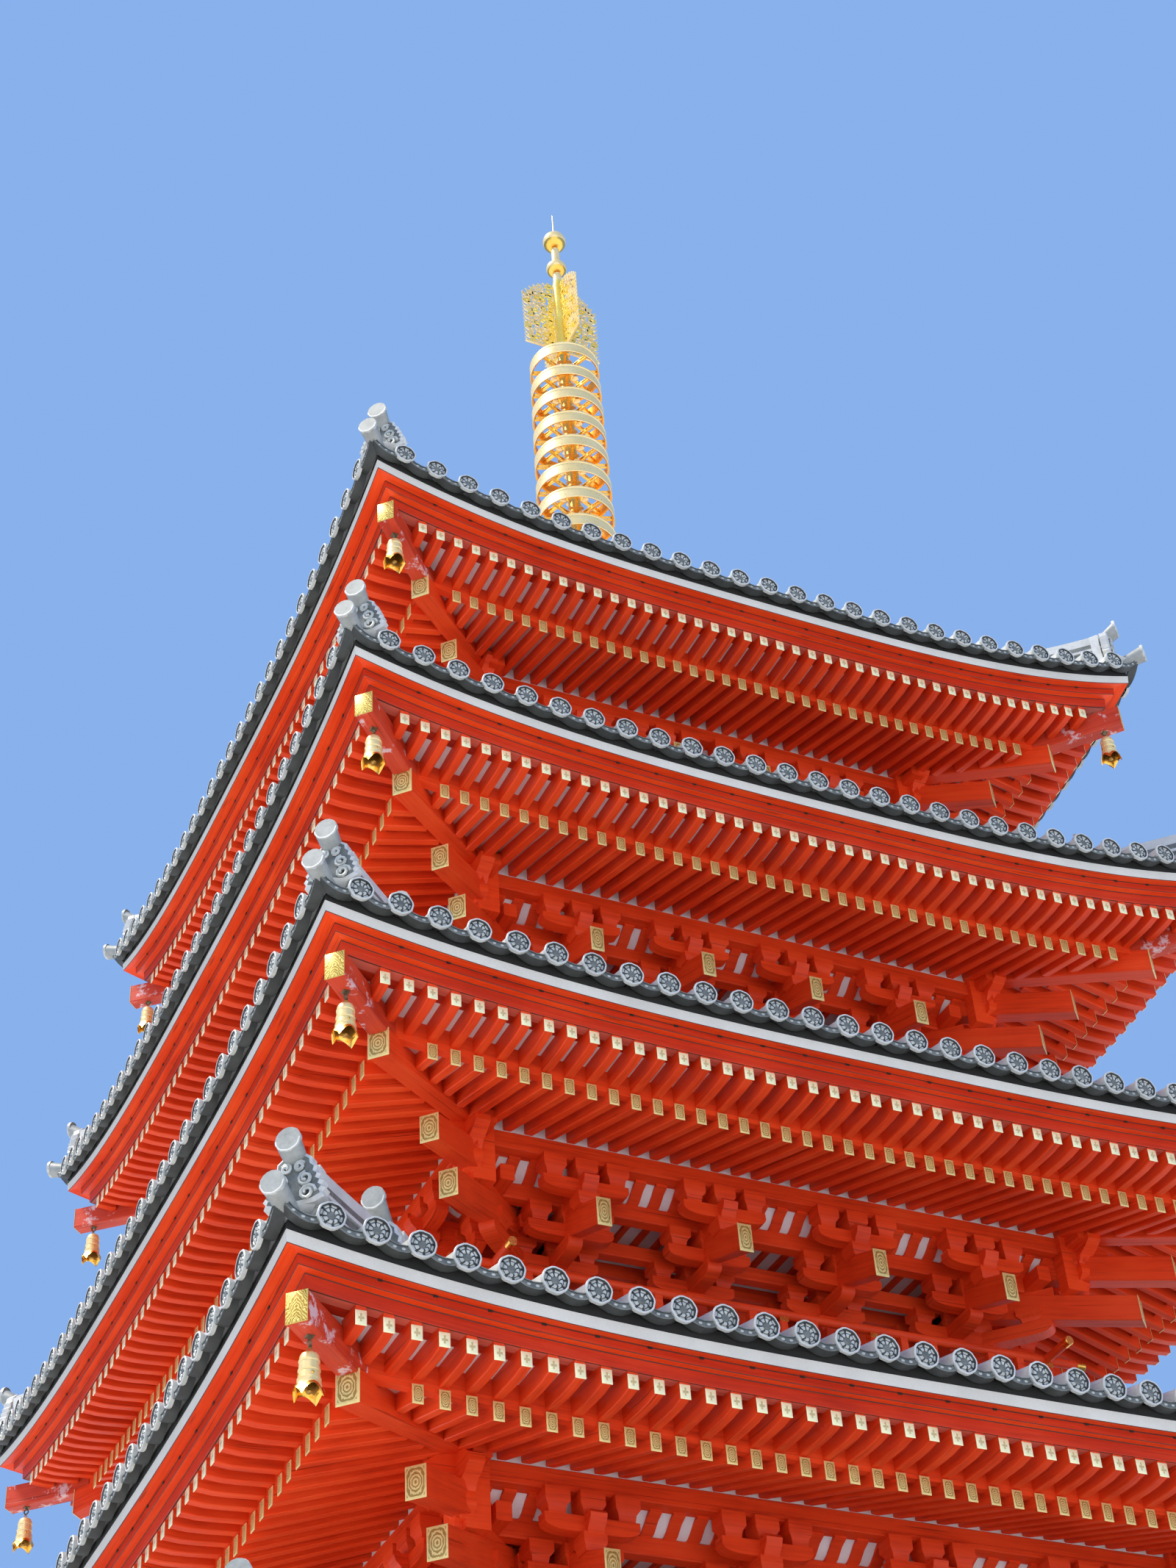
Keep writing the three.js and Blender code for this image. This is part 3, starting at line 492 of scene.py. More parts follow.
def make(node, s, body="tower", sharp=38.0):
    """Mesh object that stands for one CAD node"""
    v, loops, sizes, uv, mats, smooth = s
    mesh = bpy.data.meshes.new(node + "_look")
    mesh.vertices.add(len(v))
    mesh.vertices.foreach_set("co", v.astype(np.float32).ravel())
    mesh.loops.add(len(loops))
    mesh.loops.foreach_set("vertex_index", loops.astype(np.int32))
    mesh.polygons.add(len(sizes))
    starts = np.concatenate([[0], np.cumsum(sizes)[:-1]]).astype(np.int32)
    mesh.polygons.foreach_set("loop_start", starts)
    mesh.polygons.foreach_set("loop_total", sizes.astype(np.int32))
    used, index = np.unique(mats, return_inverse=True)
    for i in used:
        mesh.materials.append(MATS[MAT_NAMES[i]])
    mesh.polygons.foreach_set("material_index", index.astype(np.int32))
    mesh.polygons.foreach_set("use_smooth", smooth)
    mesh.uv_layers.new(name="UVMap").data.foreach_set("uv", uv.astype(np.float32).ravel())
    mesh.update()
    mesh.validate()
    obj = placed(node + "_look", mesh)
    if smooth.any():
        mesh.set_sharp_from_angle(angle=radians(sharp))
    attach(obj, body)
    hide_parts(node)


def row(n, pitch):
    """Places of n like pieces about the middle"""
    return [(i - (n - 1) / 2) * pitch for i in range(n)]


# Roof form: level of the pan tiles and the lift towards the corners
def roof_run(s):
    """How far the roof runs in from the eave, and the bend of its slope"""
    inner = 0.40 if s == 4 else BODY[s + 1] + ROOF_INNER
    top = APEX if s == 4 else LEVEL[s + 1] - DECK_DROP - 0.09 - LEVEL[s]
    run = EAVE[s] - inner
    return run, (top - 0.065 - 0.26 * run) / run ** 2


def lift(s, x, share=1.0):
    return share * RISE[s] * (np.abs(x) / EAVE[s]) ** POWER


def pan_level(s, x, o):
    run, bend = roof_run(s)
    t = np.clip((o / run - 0.45) / 0.55, 0.0, 1.0)
    fade = 1.0 - t * t * (3 - 2 * t)
    return LEVEL[s] - 0.035 + 0.26 * o + bend * o * o + lift(s, x) * fade


def spread(n, power=1.6):
    """Parameters from -1 to 1, closer together towards both ends"""
    t = np.linspace(-1, 1, n)
    return np.sign(t) * (1 - (1 - np.abs(t)) ** power)


def side_strip(s, rows):
    """Loft along the front side; rows are (inward, drop, share of the lift, material of the strip after it)"""
    stations = 41
    us = spread(stations)
    lines = []
    for o, z, share, _ in rows:
        x = us * (EAVE[s] - o)
        lines.append(np.stack([x, np.full_like(x, o - EAVE[s]), LEVEL[s] + z + lift(s, x, share)], 1))
    strips = []
    for i, (a, b) in enumerate(zip(rows, rows[1:])):
        strip = grid([lines[i], lines[i + 1]], a[3], False)
        v, loops = strip[:2]
        uv = np.stack([v[loops][:, 0], (loops >= stations) * hypot(b[0] - a[0], b[1] - a[1])], 1) + RNG.uniform(0, 9, 2)
        strips.append((v, loops, strip[2], uv, *strip[4:]))
    return join(strips)


# Wind bell
def ring(radius, wire, mat="gold_old"):
    """Upright wire ring in the x-z plane"""
    rings = []
    for a in 2 * pi * np.arange(16) / 16:
        spots = [(radius + wire * cos(b), wire * sin(b)) for b in 2 * pi * np.arange(6) / 6]
        rings.append([(r * cos(a), y, r * sin(a)) for r, y in spots])
    return loft(rings, mat, True, wrap=True)


def bell():
    """Wind bell hung from z 0: eye, ribbed body, cusped flaring mouth, clapper"""
    prof = [(0.0, -0.036), (0.020, -0.040), (0.040, -0.048), (0.062, -0.060), (0.072, -0.082), (0.075, -0.112),
            (0.079, -0.116), (0.079, -0.128), (0.0755, -0.132), (0.078, -0.190), (0.083, -0.194), (0.083, -0.208),
            (0.079, -0.212), (0.084, -0.268), (0.090, -0.274), (0.088, -0.300), (0.096, -0.345), (0.112, -0.400),
            (0.114, -0.406), (0.104, -0.398), (0.088, -0.345), (0.076, -0.290), (0.066, -0.10), (0.0, -0.085)]

    def cusped(a, j, r, z):
        cusp = abs(sin(2 * a))
        k = max(0.0, min(1.0, (-z - 0.30) / 0.10)) if j < 22 else 0.0
        return r * (1 + 0.03 * k * (1 - cusp)), z - 0.030 * k * (1 - cusp) + 0.055 * k * cusp

    yield moved(ring(0.020, 0.006), None, (0, 0, -0.020))
    yield outward(lathe(prof, 32, ["gold_pale"] * 16 + ["gold"] * 4 + ["gold_old"] * 3, cusped))
    # striking bosses between the bands
    for k in range(4):
        a = 90 * k + 45
        boss = lathe([(0.0, 0.0), (0.013, 0.0), (0.011, 0.005), (0.0, 0.008)], 10)
        yield moved(boss, spin(a + 90) @ tip(90), (0.081 * cos(radians(a)), 0.081 * sin(radians(a)), -0.245))
    clapper = [(0.0, -0.02), (0.020, -0.014), (0.024, 0.0), (0.012, 0.016), (0.004, 0.024), (0.004, 0.26), (0.0, 0.26)]
    yield moved(lathe(clapper, 10, "gold_old"), None, (0, 0, -0.37))


BELL = moved(join(bell()), np.diag([0.77, 0.77, 0.72]))


def hinge_level(s):
    return LEVEL[s] - HINGE_DROP - 0.8 * (RISE[4] - RISE[s])


# Eaves: fascia, flying and base rafters, soffits, hips
# Eave profile: the dark strips at the board joints are painted shadow, the darker reds on the stepped faces and on the
# band between the flying rafters are painted shade, and the pinkish band just inside the rafter ends is a painted sheen
FASCIA = [
    (0.16, -0.090, 1.0, "white_edge"), (0.108, -0.103, 1.0, "white_edge"), (0.115, -0.179, 1.0, "seam"),
    (0.120, -0.182, 1.0, "red_fascia"), (0.213, -0.156, 0.98, "seam"), (0.215, -0.164, 0.98, "red_pink"),
    (0.218, -0.211, 0.96, "seam"), (0.222, -0.215, 0.96, "red_fascia"), (0.281, -0.207, 0.93, "seam"),
    (0.284, -0.214, 0.93, "red_pink"), (0.287, -0.290, 0.91, "red_pink"), (0.291, -0.294, 0.91, "seam"),
    (0.302, -0.293, 0.90, "red_soffit"), (0.402, -0.276, 0.89, "red_deep"), (0.404, -0.272, 0.88, "red_deep"),
    (0.490, -0.270, 0.85, "plaster"), (0.738, -0.268, 0.82, "red"), (0.738, -0.428, 0.70, "red"),
    (0.80, -0.428, 0.68, "red"),
]


def purlin_in(s):
    return EAVE[s] - BODY[s] - PURLIN_OUT


def base_lift(s, x):
    return 0.673 * RISE[s] * (np.abs(x) / EAVE[s]) ** 2.75


def base_under(s, x, o):
    """Underside level of the base rafters"""
    t = np.clip((o - BASE_IN) / (purlin_in(s) - BASE_IN), 0.0, 1.0)
    return LEVEL[s] + BASE_DROP + BASE_SLOPE * (o - BASE_IN) + base_lift(s, x) * (1 - t)


def flying_rafter(s, x, back, dz):
    """Rafter with a bowed underside, from its end at the plate in to the board over the base rafters"""
    w, c = 0.032, 0.006
    bow = ([0.298, 0.36, 0.42, 0.50, 0.58, 0.66, 0.74], [-0.399, -0.407, -0.411, -0.410, -0.405, -0.400, -0.397])
    places = np.linspace(0.298, back, 5)
    rings = []
    for o in places:
        low = float(np.interp(o, *bow)) + dz
        top = -0.275 + 0.10 * (o - 0.298) + dz
        rings.append([(x + a, o - EAVE[s], z) for a, z in (
            (-w, top), (-w, low + c), (c - w, low), (w - c, low), (w, low + c), (w, top))])
    around = [0.0, 0.11, 0.12, 0.17, 0.18, 0.29]
    u0, w0 = RNG.uniform(0, 20, 2)
    uv = []
    for o, far in zip(places, places[1:]):
        for a, b in zip(around, around[1:]):
            uv += [(u0 + o, w0 + a), (u0 + o, w0 + b), (u0 + far, w0 + b), (u0 + far, w0 + a)]
        uv += [(u0, w0)] * 4
    uv += [(w0 + 0.1 * k, u0) for k in (*range(6), *range(6))]
    return loft(rings, "red", uv=uv)


def build_eaves(s):
    half, level = EAVE[s], LEVEL[s]
    yield side_strip(s, FASCIA)
    for x in row(FLYING[s], RAFTER_PITCH[s]):
        back = min(0.745, half - abs(x) - 0.10)
        dz = float(lift(s, x, 0.82)) + level
        if back > 0.34:
            yield flying_rafter(s, x, back, dz)
        yield plate((x, -(half - 0.299), -0.353 + dz), RIGHT, 0.069, 0.094)
    # pegs along the joint of the two fascia boards
    for x in row(FLYING[s], RAFTER_PITCH[s])[::2]:
        x += RAFTER_PITCH[s] / 2
        if abs(x) < half - 0.35:
            z = level + float(lift(s, x, 0.98)) - 0.158
            yield slat(x - 0.014, x + 0.014, -(half - 0.208), -(half - 0.224), z - 0.012, z + 0.004, "under_board")
    # base rafters and their soffit; the rafters' brighter red is painted bounce light, and the soffit's pink-grey
    # plaster is painted shade with painted red bounce light
    for x in row(BASE[s], RAFTER_PITCH[s]):
        back = min(purlin_in(s) + 0.12, half - abs(x) - 0.11)
        if back > 0.76:
            ends = [(x, o - half, float(base_under(s, x, o))) for o in (0.7245, back)]
            yield beam(*ends, 0.066, 0.122, "red_under")
        yield plate((x, -(half - 0.7255), float(base_under(s, x, BASE_IN)) + 0.060), RIGHT, 0.071, 0.124,
                    mat="plate_base")
    pts = []
    for o in np.linspace(0.765, half - BODY[s] + 0.02, 9):
        x = spread(31) * (half - o)
        pts.append(np.stack([x, np.full_like(x, -(half - o)), base_under(s, x, o) + 0.108], 1))
    v, loops, sizes, _, mats, smooth = grid(pts, "plaster_warm")
    yield v, loops, sizes, v[loops][:, [1, 0]], mats, smooth
    # plaster stops between the rafters over the purlin
    o = purlin_in(s) + 0.015
    w = half - o
    z = float(base_under(s, 0.0, o))
    yield shape([(-w, -w, z - 0.02), (w, -w, z - 0.02), (w, -w, z + 0.118), (-w, -w, z + 0.118)], [[0, 1, 2, 3]],
                "plaster")

    # hips at the front right corner
    def corner(o, z):
        return np.array([half - o, -(half - o), z])

    def hip_mid(o):
        return level - 0.457 + 0.12 * (o - 0.2) + float(lift(s, half - o, 0.82))

    ends = corner(0.215, hip_mid(0.21) - 0.098), corner(0.78, hip_mid(0.78) - 0.098)
    yield beam(*ends, 0.135, 0.196, "red_worn", 0.008)
    yield plate(corner(0.216, hip_mid(0.21)), ACROSS, 0.138, 0.198, 0.005, "plate_hip", 0.003)
    low = level - 0.555 + float(base_lift(s, half - 0.685))
    inner = half - BODY[s] - 0.30
    ends = corner(0.69, low - 0.105), corner(inner, float(base_under(s, 0.0, inner)) - 0.02)
    yield beam(*ends, 0.145, 0.21, "red", 0.008)
    yield plate(corner(0.691, low), ACROSS, 0.152, 0.214, 0.010, "plate_base", 0.008)
    # hook from the hip down to the bell's eye
    reach, top, hinge = half - HANGER_IN, hip_mid(HANGER_IN) - 0.098, hinge_level(s)
    yield tube([(reach, -reach, top + 0.06), (reach, -reach, hinge + 0.045)], [0.009] * 2, 8, "bell_dark")
    yield moved(ring(0.020, 0.006, "bell_dark"), spin(-45), (reach, -reach, hinge + 0.028))
    yield bar(reach - 0.024, reach + 0.024, -reach - 0.024, -reach + 0.024, top - 0.004, top + 0.02, "bell_dark", 0.004)
    if s < 3:
        yield moved(BELL, spin(45), (reach, -reach, hinge))


# Roof tiles
def disc_shape(pale, rim, face, dark):
    """Round tile end facing -y, with a rim, a ring of beads and eight petals; face and dark paint shade on the recessed
    face, in the grooves and between the petals
    """
    seg = 16
    rows = [(0.087, 0.030), (0.0895, 0.004), (0.086, 0.0), (0.077, 0.0), (0.071, 0.013), (0.062, 0.008),
            (0.057, 0.013), (0.052, 0.013), (0.044, 0.005), (0.032, 0.006), (0.027, 0.013), (0.017, 0.004)]
    parts = [dark, rim] * (seg // 2)
    plan = [[rim] * seg, [rim] * seg, [pale] * seg, [dark] * seg, parts, parts, [dark] * seg, parts, parts, parts,
            [face] * seg]
    v = []
    for j, (r, y) in enumerate(rows):
        for i in range(seg):
            a = radians(45 * (i // 2) + 15 * (i % 2) + (7.5 if j in (8, 9) else 0.0))
            v.append((r * cos(a), y, r * sin(a)))
    faces = [[j * seg + i, j * seg + (i + 1) % seg, (j + 1) * seg + (i + 1) % seg, (j + 1) * seg + i]
             for j in range(len(plan)) for i in range(seg)]
    faces.append([len(plan) * seg + i for i in range(seg)])
    return shape(v, faces, sum(plan, []) + [face], True)


# front discs carry deep painted shade; the corner discs have a dimmer front ring and lighter painted shade
DISC = disc_shape("tile", "tile_rim", "tile_face", "tile_dark")
DISC_CORNER = disc_shape("tile_rim", "tile_rim", "tile_mid", "tile_face")


def tile_joints(start, stop, margin, first, last):
    """Places up the slope at both ends of each tile, with a value for its lower and its upper end"""
    out = []
    while start < stop - margin:
        nxt = min(start + TILE_STEP, stop)
        out += [(start, first), (nxt, last)]
        start = nxt
    return out


def round_row(s, x, stop):
    """Cover tiles of one row, laid up the slope with a small step at each joint"""
    rings = []
    for o, r in tile_joints(0.012, stop, 0.03, 0.0755, 0.0690):
        z = float(pan_level(s, x, o)) + 0.047
        rings.append([(x + r * cos(a), o - EAVE[s], z + r * sin(a)) for a in np.radians(np.linspace(-18, 198, 6))])
    return grid(rings, "tile") if rings else None


def pan_row(s, x, stop):
    ts = np.array([1, 0.4, -0.4, -1])
    xs = x + ts * TILE_PITCH[s] / 2
    rings = []
    for o, dz in tile_joints(0.08, stop, 0.02, 0.0, -0.012):
        rings.append([(a, o - EAVE[s], b) for a, b in zip(xs, pan_level(s, xs, o) + 0.030 * ts ** 2 + dz)])
    return grid(rings, "tile") if rings else None


def pan_lip(s, x):
    """Curved front of an eave pan tile with its chased face"""
    def trough(t):
        xt = x + t * TILE_PITCH[s] / 2
        return xt, LEVEL[s] - 0.025 + 0.060 * t ** 2 + lift(s, xt)

    prof = [(0.075, 0.016), (0.018, 0.0), (0.015, -0.003), (0.015, -0.010), (0.021, -0.012), (0.021, -0.037),
            (0.015, -0.040), (0.018, -0.050), (0.095, -0.050)]
    # the lip's bevel and faces in lighter and deeper painted shade, its steps and underside in the darkest painted
    # shade
    plan = ("tile", "tile_rim", "tile_face", "tile_dark", "tile_face", "tile_dark", "tile_face", "tile_dark")
    xs, tops = trough(np.linspace(-1, 1, 7))
    rings = [[(a, o - EAVE[s], b + dz) for a, b in zip(xs, tops)] for o, dz in prof]
    out = [grid(rings, [m for m in plan for _ in range(6)])]
    # raised scrolls on the face, lighter than the painted shade of the face around them
    y, r = 0.0205 - EAVE[s], 0.009
    for t in (-0.62, -0.2, 0.2, 0.62):
        xc, zc = trough(t)
        zc = float(zc) - 0.0245
        pts = [(xc, y - 0.005, zc)] + [(xc + r * 1.5 * cos(a), y, zc + r * sin(a)) for a in pi / 3 * np.arange(6)]
        out.append(shape(pts, [[0, i + 1, (i + 1) % 6 + 1] for i in range(6)], "tile_rim", True))
    return join(out)


def build_roof(s):
    half, n, pitch = EAVE[s], TILES[s], TILE_PITCH[s]
    run = roof_run(s)[0]
    for x in row(n, pitch):
        yield round_row(s, x, min(run, half - abs(x) - 0.02))
        yield moved(DISC, None, (x, -half, LEVEL[s] + 0.012 + float(lift(s, x))))
    for x in row(n + 1, pitch):
        yield pan_row(s, x, min(run, half - abs(x) + 0.06))
        if abs(x) < half - 0.05:
            yield pan_lip(s, x)
    yield side_strip(s, [(0.118, -0.02, 1.0, "under_board"), (0.114, -0.096, 1.0, "under_board"),
                         (0.16, -0.098, 1.0, "under_board")])
    yield from corner_ridge(s)


def along_corner(points, width, mat, rounded=False):
    """Ridge body on the front right diagonal; points are (w, foot level, top level)"""
    line = [(0.5, 0.80), (0.5, 0.0)] if rounded else [(0.5, 1.0), (0.5, 0.0)]
    crown = [(-0.36, 0.93), (-0.18, 0.99), (0.0, 1.0), (0.18, 0.99), (0.36, 0.93)] if rounded else []
    prof = [(-a, b) for a, b in line[::-1]] + crown + line
    rings = []
    for w, lo, hi in points:
        spots = [(a * width / sqrt(2), lo + (hi - lo) * b) for a, b in prof]
        rings.append([(w + a, a - w, z) for a, z in spots])
    return loft(rings, mat, rounded)


def corner_ridge(s):
    """Two-tier corner ridge: stacked tiles, round capping, end ornaments with upturned horns"""
    half = EAVE[s]
    far = roof_run(s)[0] - 0.10
    split = 1.08

    def ground(w):
        return float(pan_level(s, w, half - w))

    lower = ((0.23, -0.02, 0.15), (0.20, 0.15, 0.22), (0.23, 0.22, 0.245), (0.19, 0.245, 0.31), (0.15, 0.31, 0.44))
    upper = ((0.25, -0.02, 0.18), (0.22, 0.18, 0.26), (0.25, 0.26, 0.285), (0.20, 0.285, 0.36), (0.16, 0.36, 0.50))
    for start, stop, stations, layers in ((0.22, 1.07, 11, lower), (split, far, 14, upper)):
        for k, (wide, lo, hi) in enumerate(layers):
            pts = []
            for w in np.linspace(half - start, half - stop, stations):
                # the upper tier runs out under the storey above, except on the top roof
                t = max(0.0, half - split - w) / (far - split)
                fade = 1.0 if s == 4 else max(0.12, 1.0 - 1.05 * t)
                pts.append((w, ground(w) + lo * fade, ground(w) + hi * fade))
            # the narrower set-back layers are darker: painted shade
            yield along_corner(pts, wide, "tile_face" if k % 2 else "tile", k == 4)
    # round tiles that shoot out over both ends, with an ornament and a square end block behind each
    for o, base, tip_z, back, tall in ((0.10, 0.37, 0.58, 0.08, 0.37), (0.935, 0.42, 0.72, 0.09, 0.44)):
        pts = []
        for t in np.linspace(0, 1, 9):
            w = half - o - 0.34 * (1 - t)
            hi = ground(min(w, half - 0.05)) + base + (tip_z - base) * t ** 1.7
            pts.append((w, hi - 0.090, 0.058 + 0.022 * t ** 2))
        yield corner_tile(pts)
        foot = ground(half - o - 0.06)
        yield ornament(half - o - back, foot + 0.09, 0.31, tall)
        w = half - o - back - 0.045
        yield along_corner([(w, foot + 0.02, foot + tall + 0.01), (w - 0.055, foot + 0.02, foot + tall)], 0.25, "tile")
    # corner round tile that points out along the diagonal
    g = LEVEL[s] + float(lift(s, half)) + 0.072
    yield corner_tile([(half + 0.03 - 0.34 * (1 - t), g - 0.150 * (1 - t), 0.060 + 0.017 * t ** 3)
                       for t in np.linspace(0, 1, 6)])


def corner_tile(pts):
    """Flared round tile along the front right diagonal, upright at its outer end; points are (w, middle, radius)"""
    rings = []
    for w, z, r in pts:
        spots = [(r * cos(a) / sqrt(2), z + r * sin(a)) for a in pi / 8 * np.arange(16)]
        rings.append([(w + a, a - w, b) for a, b in spots])
    w, z, r = pts[-1]
    disc = moved(DISC_CORNER, spin(45) @ tip(-4) * (r / 0.086), (w, -w, z))
    # the tile body in a darker copy of the tile grey: painted shade
    return join([loft(rings, "tile_mid", True), disc])


def ornament(w, foot, width, height):
    """Ridge-end shield across the diagonal: stepped plate with a notched edge, scrolls and hollows, with painted shade
    on the front face and in the hollows
    """
    def at(a, b, d):
        return np.array([w, -w, foot + b]) + ACROSS * a + AXIS * d

    half_line = [(0.42, 0.0), (0.62, 0.06), (0.58, 0.14), (0.64, 0.20), (0.56, 0.27), (0.60, 0.34), (0.50, 0.40),
                 (0.54, 0.48), (0.44, 0.55), (0.47, 0.64), (0.37, 0.72), (0.36, 0.82), (0.24, 0.90), (0.14, 0.98)]
    outline = half_line + [(-a, b) for a, b in half_line[::-1]]
    rings = [[at(a * width * k, (b * height - height / 2) * k + height / 2, d) for a, b in outline]
             for d, k in ((-0.050, 1.0), (0.012, 1.0), (0.026, 0.88))]
    # front face in a deep copy of the tile grey: painted shade
    out = [loft(rings, ["tile"] * (2 * len(outline) + 1) + ["tile_face"])]
    for side in (-1, 1):
        for a, b, r, start in ((0.30, 0.16, 0.052, 0.0), (0.26, 0.42, 0.046, 1.6), (0.14, 0.66, 0.034, 0.6)):
            pts = []
            for q in np.linspace(0, 1, 16):
                rr, turn = r * (1 - 0.75 * q), start + 3.2 * pi * q
                pts.append(at(side * (a * width + rr * cos(turn)), b * height + rr * sin(turn), 0.030 + 0.016 * q))
            out.append(tube(pts, np.linspace(0.013, 0.009, 16), 5, "tile_rim"))
            # dished eyes in the darkest copy of the tile grey: painted shade in the hollows
            eye = lathe([(r * 0.72, -0.012), (r * 0.60, 0.004), (r * 0.30, 0.010), (0.0, 0.011)], 10, "tile_dark")
            out.append(moved(eye, spin(45) @ tip(90), at(side * a * width, b * height, 0.026)))
    return join(out)


# Brackets under the eaves
def block(x, y, w, z0, z1, d=None, base=0.66):
    """Bearing block: straight upper half, hollowed lower half"""
    h = z1 - z0
    rows = ((base, z0), (base + 0.08, z0 + 0.28 * h), (1.0, z0 + 0.46 * h), (1.0, z1))
    return loft([[(x + a * w / 2 * k, y + b * (d or w) / 2 * k, z) for a, b in SQUARE] for k, z in rows])


def arm(x, y, reach, z0, z1, w=0.10, cut=0.15):
    """Bracket arm along the wall with rounded lower ends"""
    turns = [(cos(a), sin(a)) for a in pi / 8 * np.arange(5)]
    right = [(reach, z1)] + [(reach - cut + cut * c, z0 + 0.50 * (z1 - z0) * (1 - d)) for c, d in turns]
    line = right + [(-a, b) for a, b in right[::-1]]
    return loft([[(x + a, y + e * w / 2, b) for a, b in line] for e in (-1, 1)])


def nose(x, y0, y1, z0, z1, w=0.10, cut=0.13):
    """Bracket arm at right angles to the wall from y0 out to y1 with a rounded lower end"""
    h = z1 - z0
    line = [(y0, z0), (y0, z1), (y1, z1), (y1, z0 + 0.50 * h)]
    line += [(y1 + cut * (1 - cos(a)), z0 + 0.50 * h * (1 - sin(a))) for a in pi / 8 * np.arange(1, 5)]
    return prism(line, x - w / 2, x + w / 2)


def curl(x, y0, y1, z0, z1, w):
    """Carved nose with an upturned curling tip"""
    n = z1 - z0
    line = [(y0, z0), (y0, z1), (y1 + 0.10, z1), (y1 + 0.045, z1 - 0.10 * n), (y1 + 0.02, z1 + 0.02 * n),
            (y1 - 0.01, z1 - 0.16 * n), (y1 + 0.005, z1 - 0.42 * n), (y1 + 0.04, z1 - 0.62 * n),
            (y1 + 0.055, z1 - 0.80 * n), (y1 + 0.09, z0 + 0.10 * n), (y1 + 0.14, z0)]
    return prism(line, x - w / 2, x + w / 2)


# Carved end of the purlin: how far out from the posts, and level from the eave
WAVE = [(1.10, 0.040), (1.155, 0.010), (1.160, -0.035), (1.105, -0.070), (1.045, -0.100), (1.030, -0.145),
        (1.075, -0.185), (1.130, -0.225), (1.135, -0.275), (1.075, -0.315), (1.000, -0.345), (0.965, -0.400),
        (0.985, -0.450), (0.975, -0.500), (0.915, -0.535), (0.870, -0.570), (0.865, -0.620), (0.70, -0.620),
        (0.70, 0.040)]


def build_brackets(s):
    h, level, pitch = BODY[s], LEVEL[s], RAFTER_PITCH[s]
    purlin_top = BASE_DROP + BASE_SLOPE * (purlin_in(s) - BASE_IN)
    trio = (-0.243, 0.0, 0.243)

    def z(v):
        """Levels in the ring stretch with the room between the posts and the purlin"""
        return level + v + (purlin_top + 0.191) * (v + 1.235) / 0.905

    def y(o):
        return -(h + o)

    # plaster field at the wall line and the long beams of each step
    yield bar(-h, h, -h + 0.005, -h + 0.05, z(-1.235), z(-0.40), "plaster", 0.002)
    for o, w, a, b, ext in ((0.0, 0.11, -0.89, -0.785, 0.15), (0.0, 0.10, -0.68, -0.575, 0.12),
                            (0.0, 0.10, -0.49, -0.43, 0.0), (0.285, 0.10, -0.68, -0.575, 0.20),
                            (0.57, 0.11, -0.55, -0.43, 0.26)):
        yield crossed(h + o + ext, h + o - w / 2, h + o + w / 2, z(a), z(b))
    # purlin and its lower band
    yield crossed(h + 1.10, h + 0.75, h + PURLIN_OUT, z(-0.30), level + purlin_top - 0.002)
    yield crossed(h + 0.90, h + 0.76, h + 0.89, z(-0.336), z(-0.30), 0.004)
    foot = level - 0.96
    for c in (-h, -h / 3, h / 3, h):
        yield block(c, -h, 0.23, z(-1.235), z(-1.10), base=0.68)
        yield arm(c, -h, 0.33, z(-1.10), z(-0.995), 0.11)
        yield nose(c, -h, y(0.40), z(-1.10), z(-0.995), 0.11)
        yield block(c, y(0.285), 0.17, z(-0.995), z(-0.89))
        yield nose(c, -h, y(0.68), z(-0.89), z(-0.785), 0.11)
        yield arm(c, y(0.285), 0.33, z(-0.89), z(-0.785))
        yield arm(c, y(0.57), 0.33, z(-0.78), z(-0.68))
        yield block(c, y(0.86), 0.16, level - 0.665, z(-0.59), base=0.8)
        yield arm(c, y(0.86), 0.33, z(-0.59), z(-0.49))
        for o, w, a, b, d in ((0.0, 0.165, -0.995, -0.89, None), (0.0, 0.165, -0.785, -0.68, None),
                              (0.285, 0.165, -0.785, -0.68, None), (0.57, 0.168, -0.68, -0.55, None),
                              (0.86, 0.173, -0.49, -0.336, 0.15)):
            for k in trio:
                yield block(c + k, y(o), w, z(a), z(b), d)
        yield curl(c, y(0.57), y(1.0), z(-0.63), z(-0.475), 0.115)
        # tail rafter
        yield beam((c, y(1.150), foot), (c, y(0.25), foot + BASE_SLOPE * 0.90), 0.100, 0.212)
        yield plate((c, y(1.1505), level - 0.855), RIGHT, 0.108, 0.220, 0.009, "plate_base")
    # carved noses over the crossing of the purlins, in the brighter red of painted bounce light
    for side in (-1, 1):
        c = side * (h + 0.87)
        yield prism([(y(o), level + v) for o, v in WAVE], c - 0.055, c + 0.055, "red_under")
    # ceiling of the inner steps: panels between thin slats
    zc = z(-0.425)
    yield shape([(-h - 0.57, y(0.57), zc), (h + 0.57, y(0.57), zc), (h, -h, zc), (-h, -h, zc)], [[3, 2, 1, 0]],
                "plaster")
    for x in row(2 * int((h + 0.5) / pitch) + 1, pitch):
        x += pitch / 2
        if abs(x) < h + 0.52:
            yield slat(x - 0.022, x + 0.022, y(0.57), min(-h, -abs(x)), zc - 0.03, zc)
    # curved ribs with plaster between
    curve = [(0.60, -0.430), (0.632, -0.424), (0.665, -0.408), (0.70, -0.384), (0.735, -0.356), (0.77, -0.335),
             (0.80, -0.330)]
    yield grid([[(side * (h + o), y(o), z(v)) for side in (-1, 1)] for o, v in curve[::-1]], "plaster")
    line = [(y(o), z(v) - 0.022) for o, v in curve[::2]] + [(y(o), z(v) + 0.012) for o, v in curve[::-2]]
    for x in row(2 * int((h + 0.72) / pitch) + 1, pitch):
        if abs(x) <= h + 0.70:
            yield prism(line, x - 0.043, x + 0.043)
    yield moved(join(corner_arms(s, z)), spin(45), shift=False)


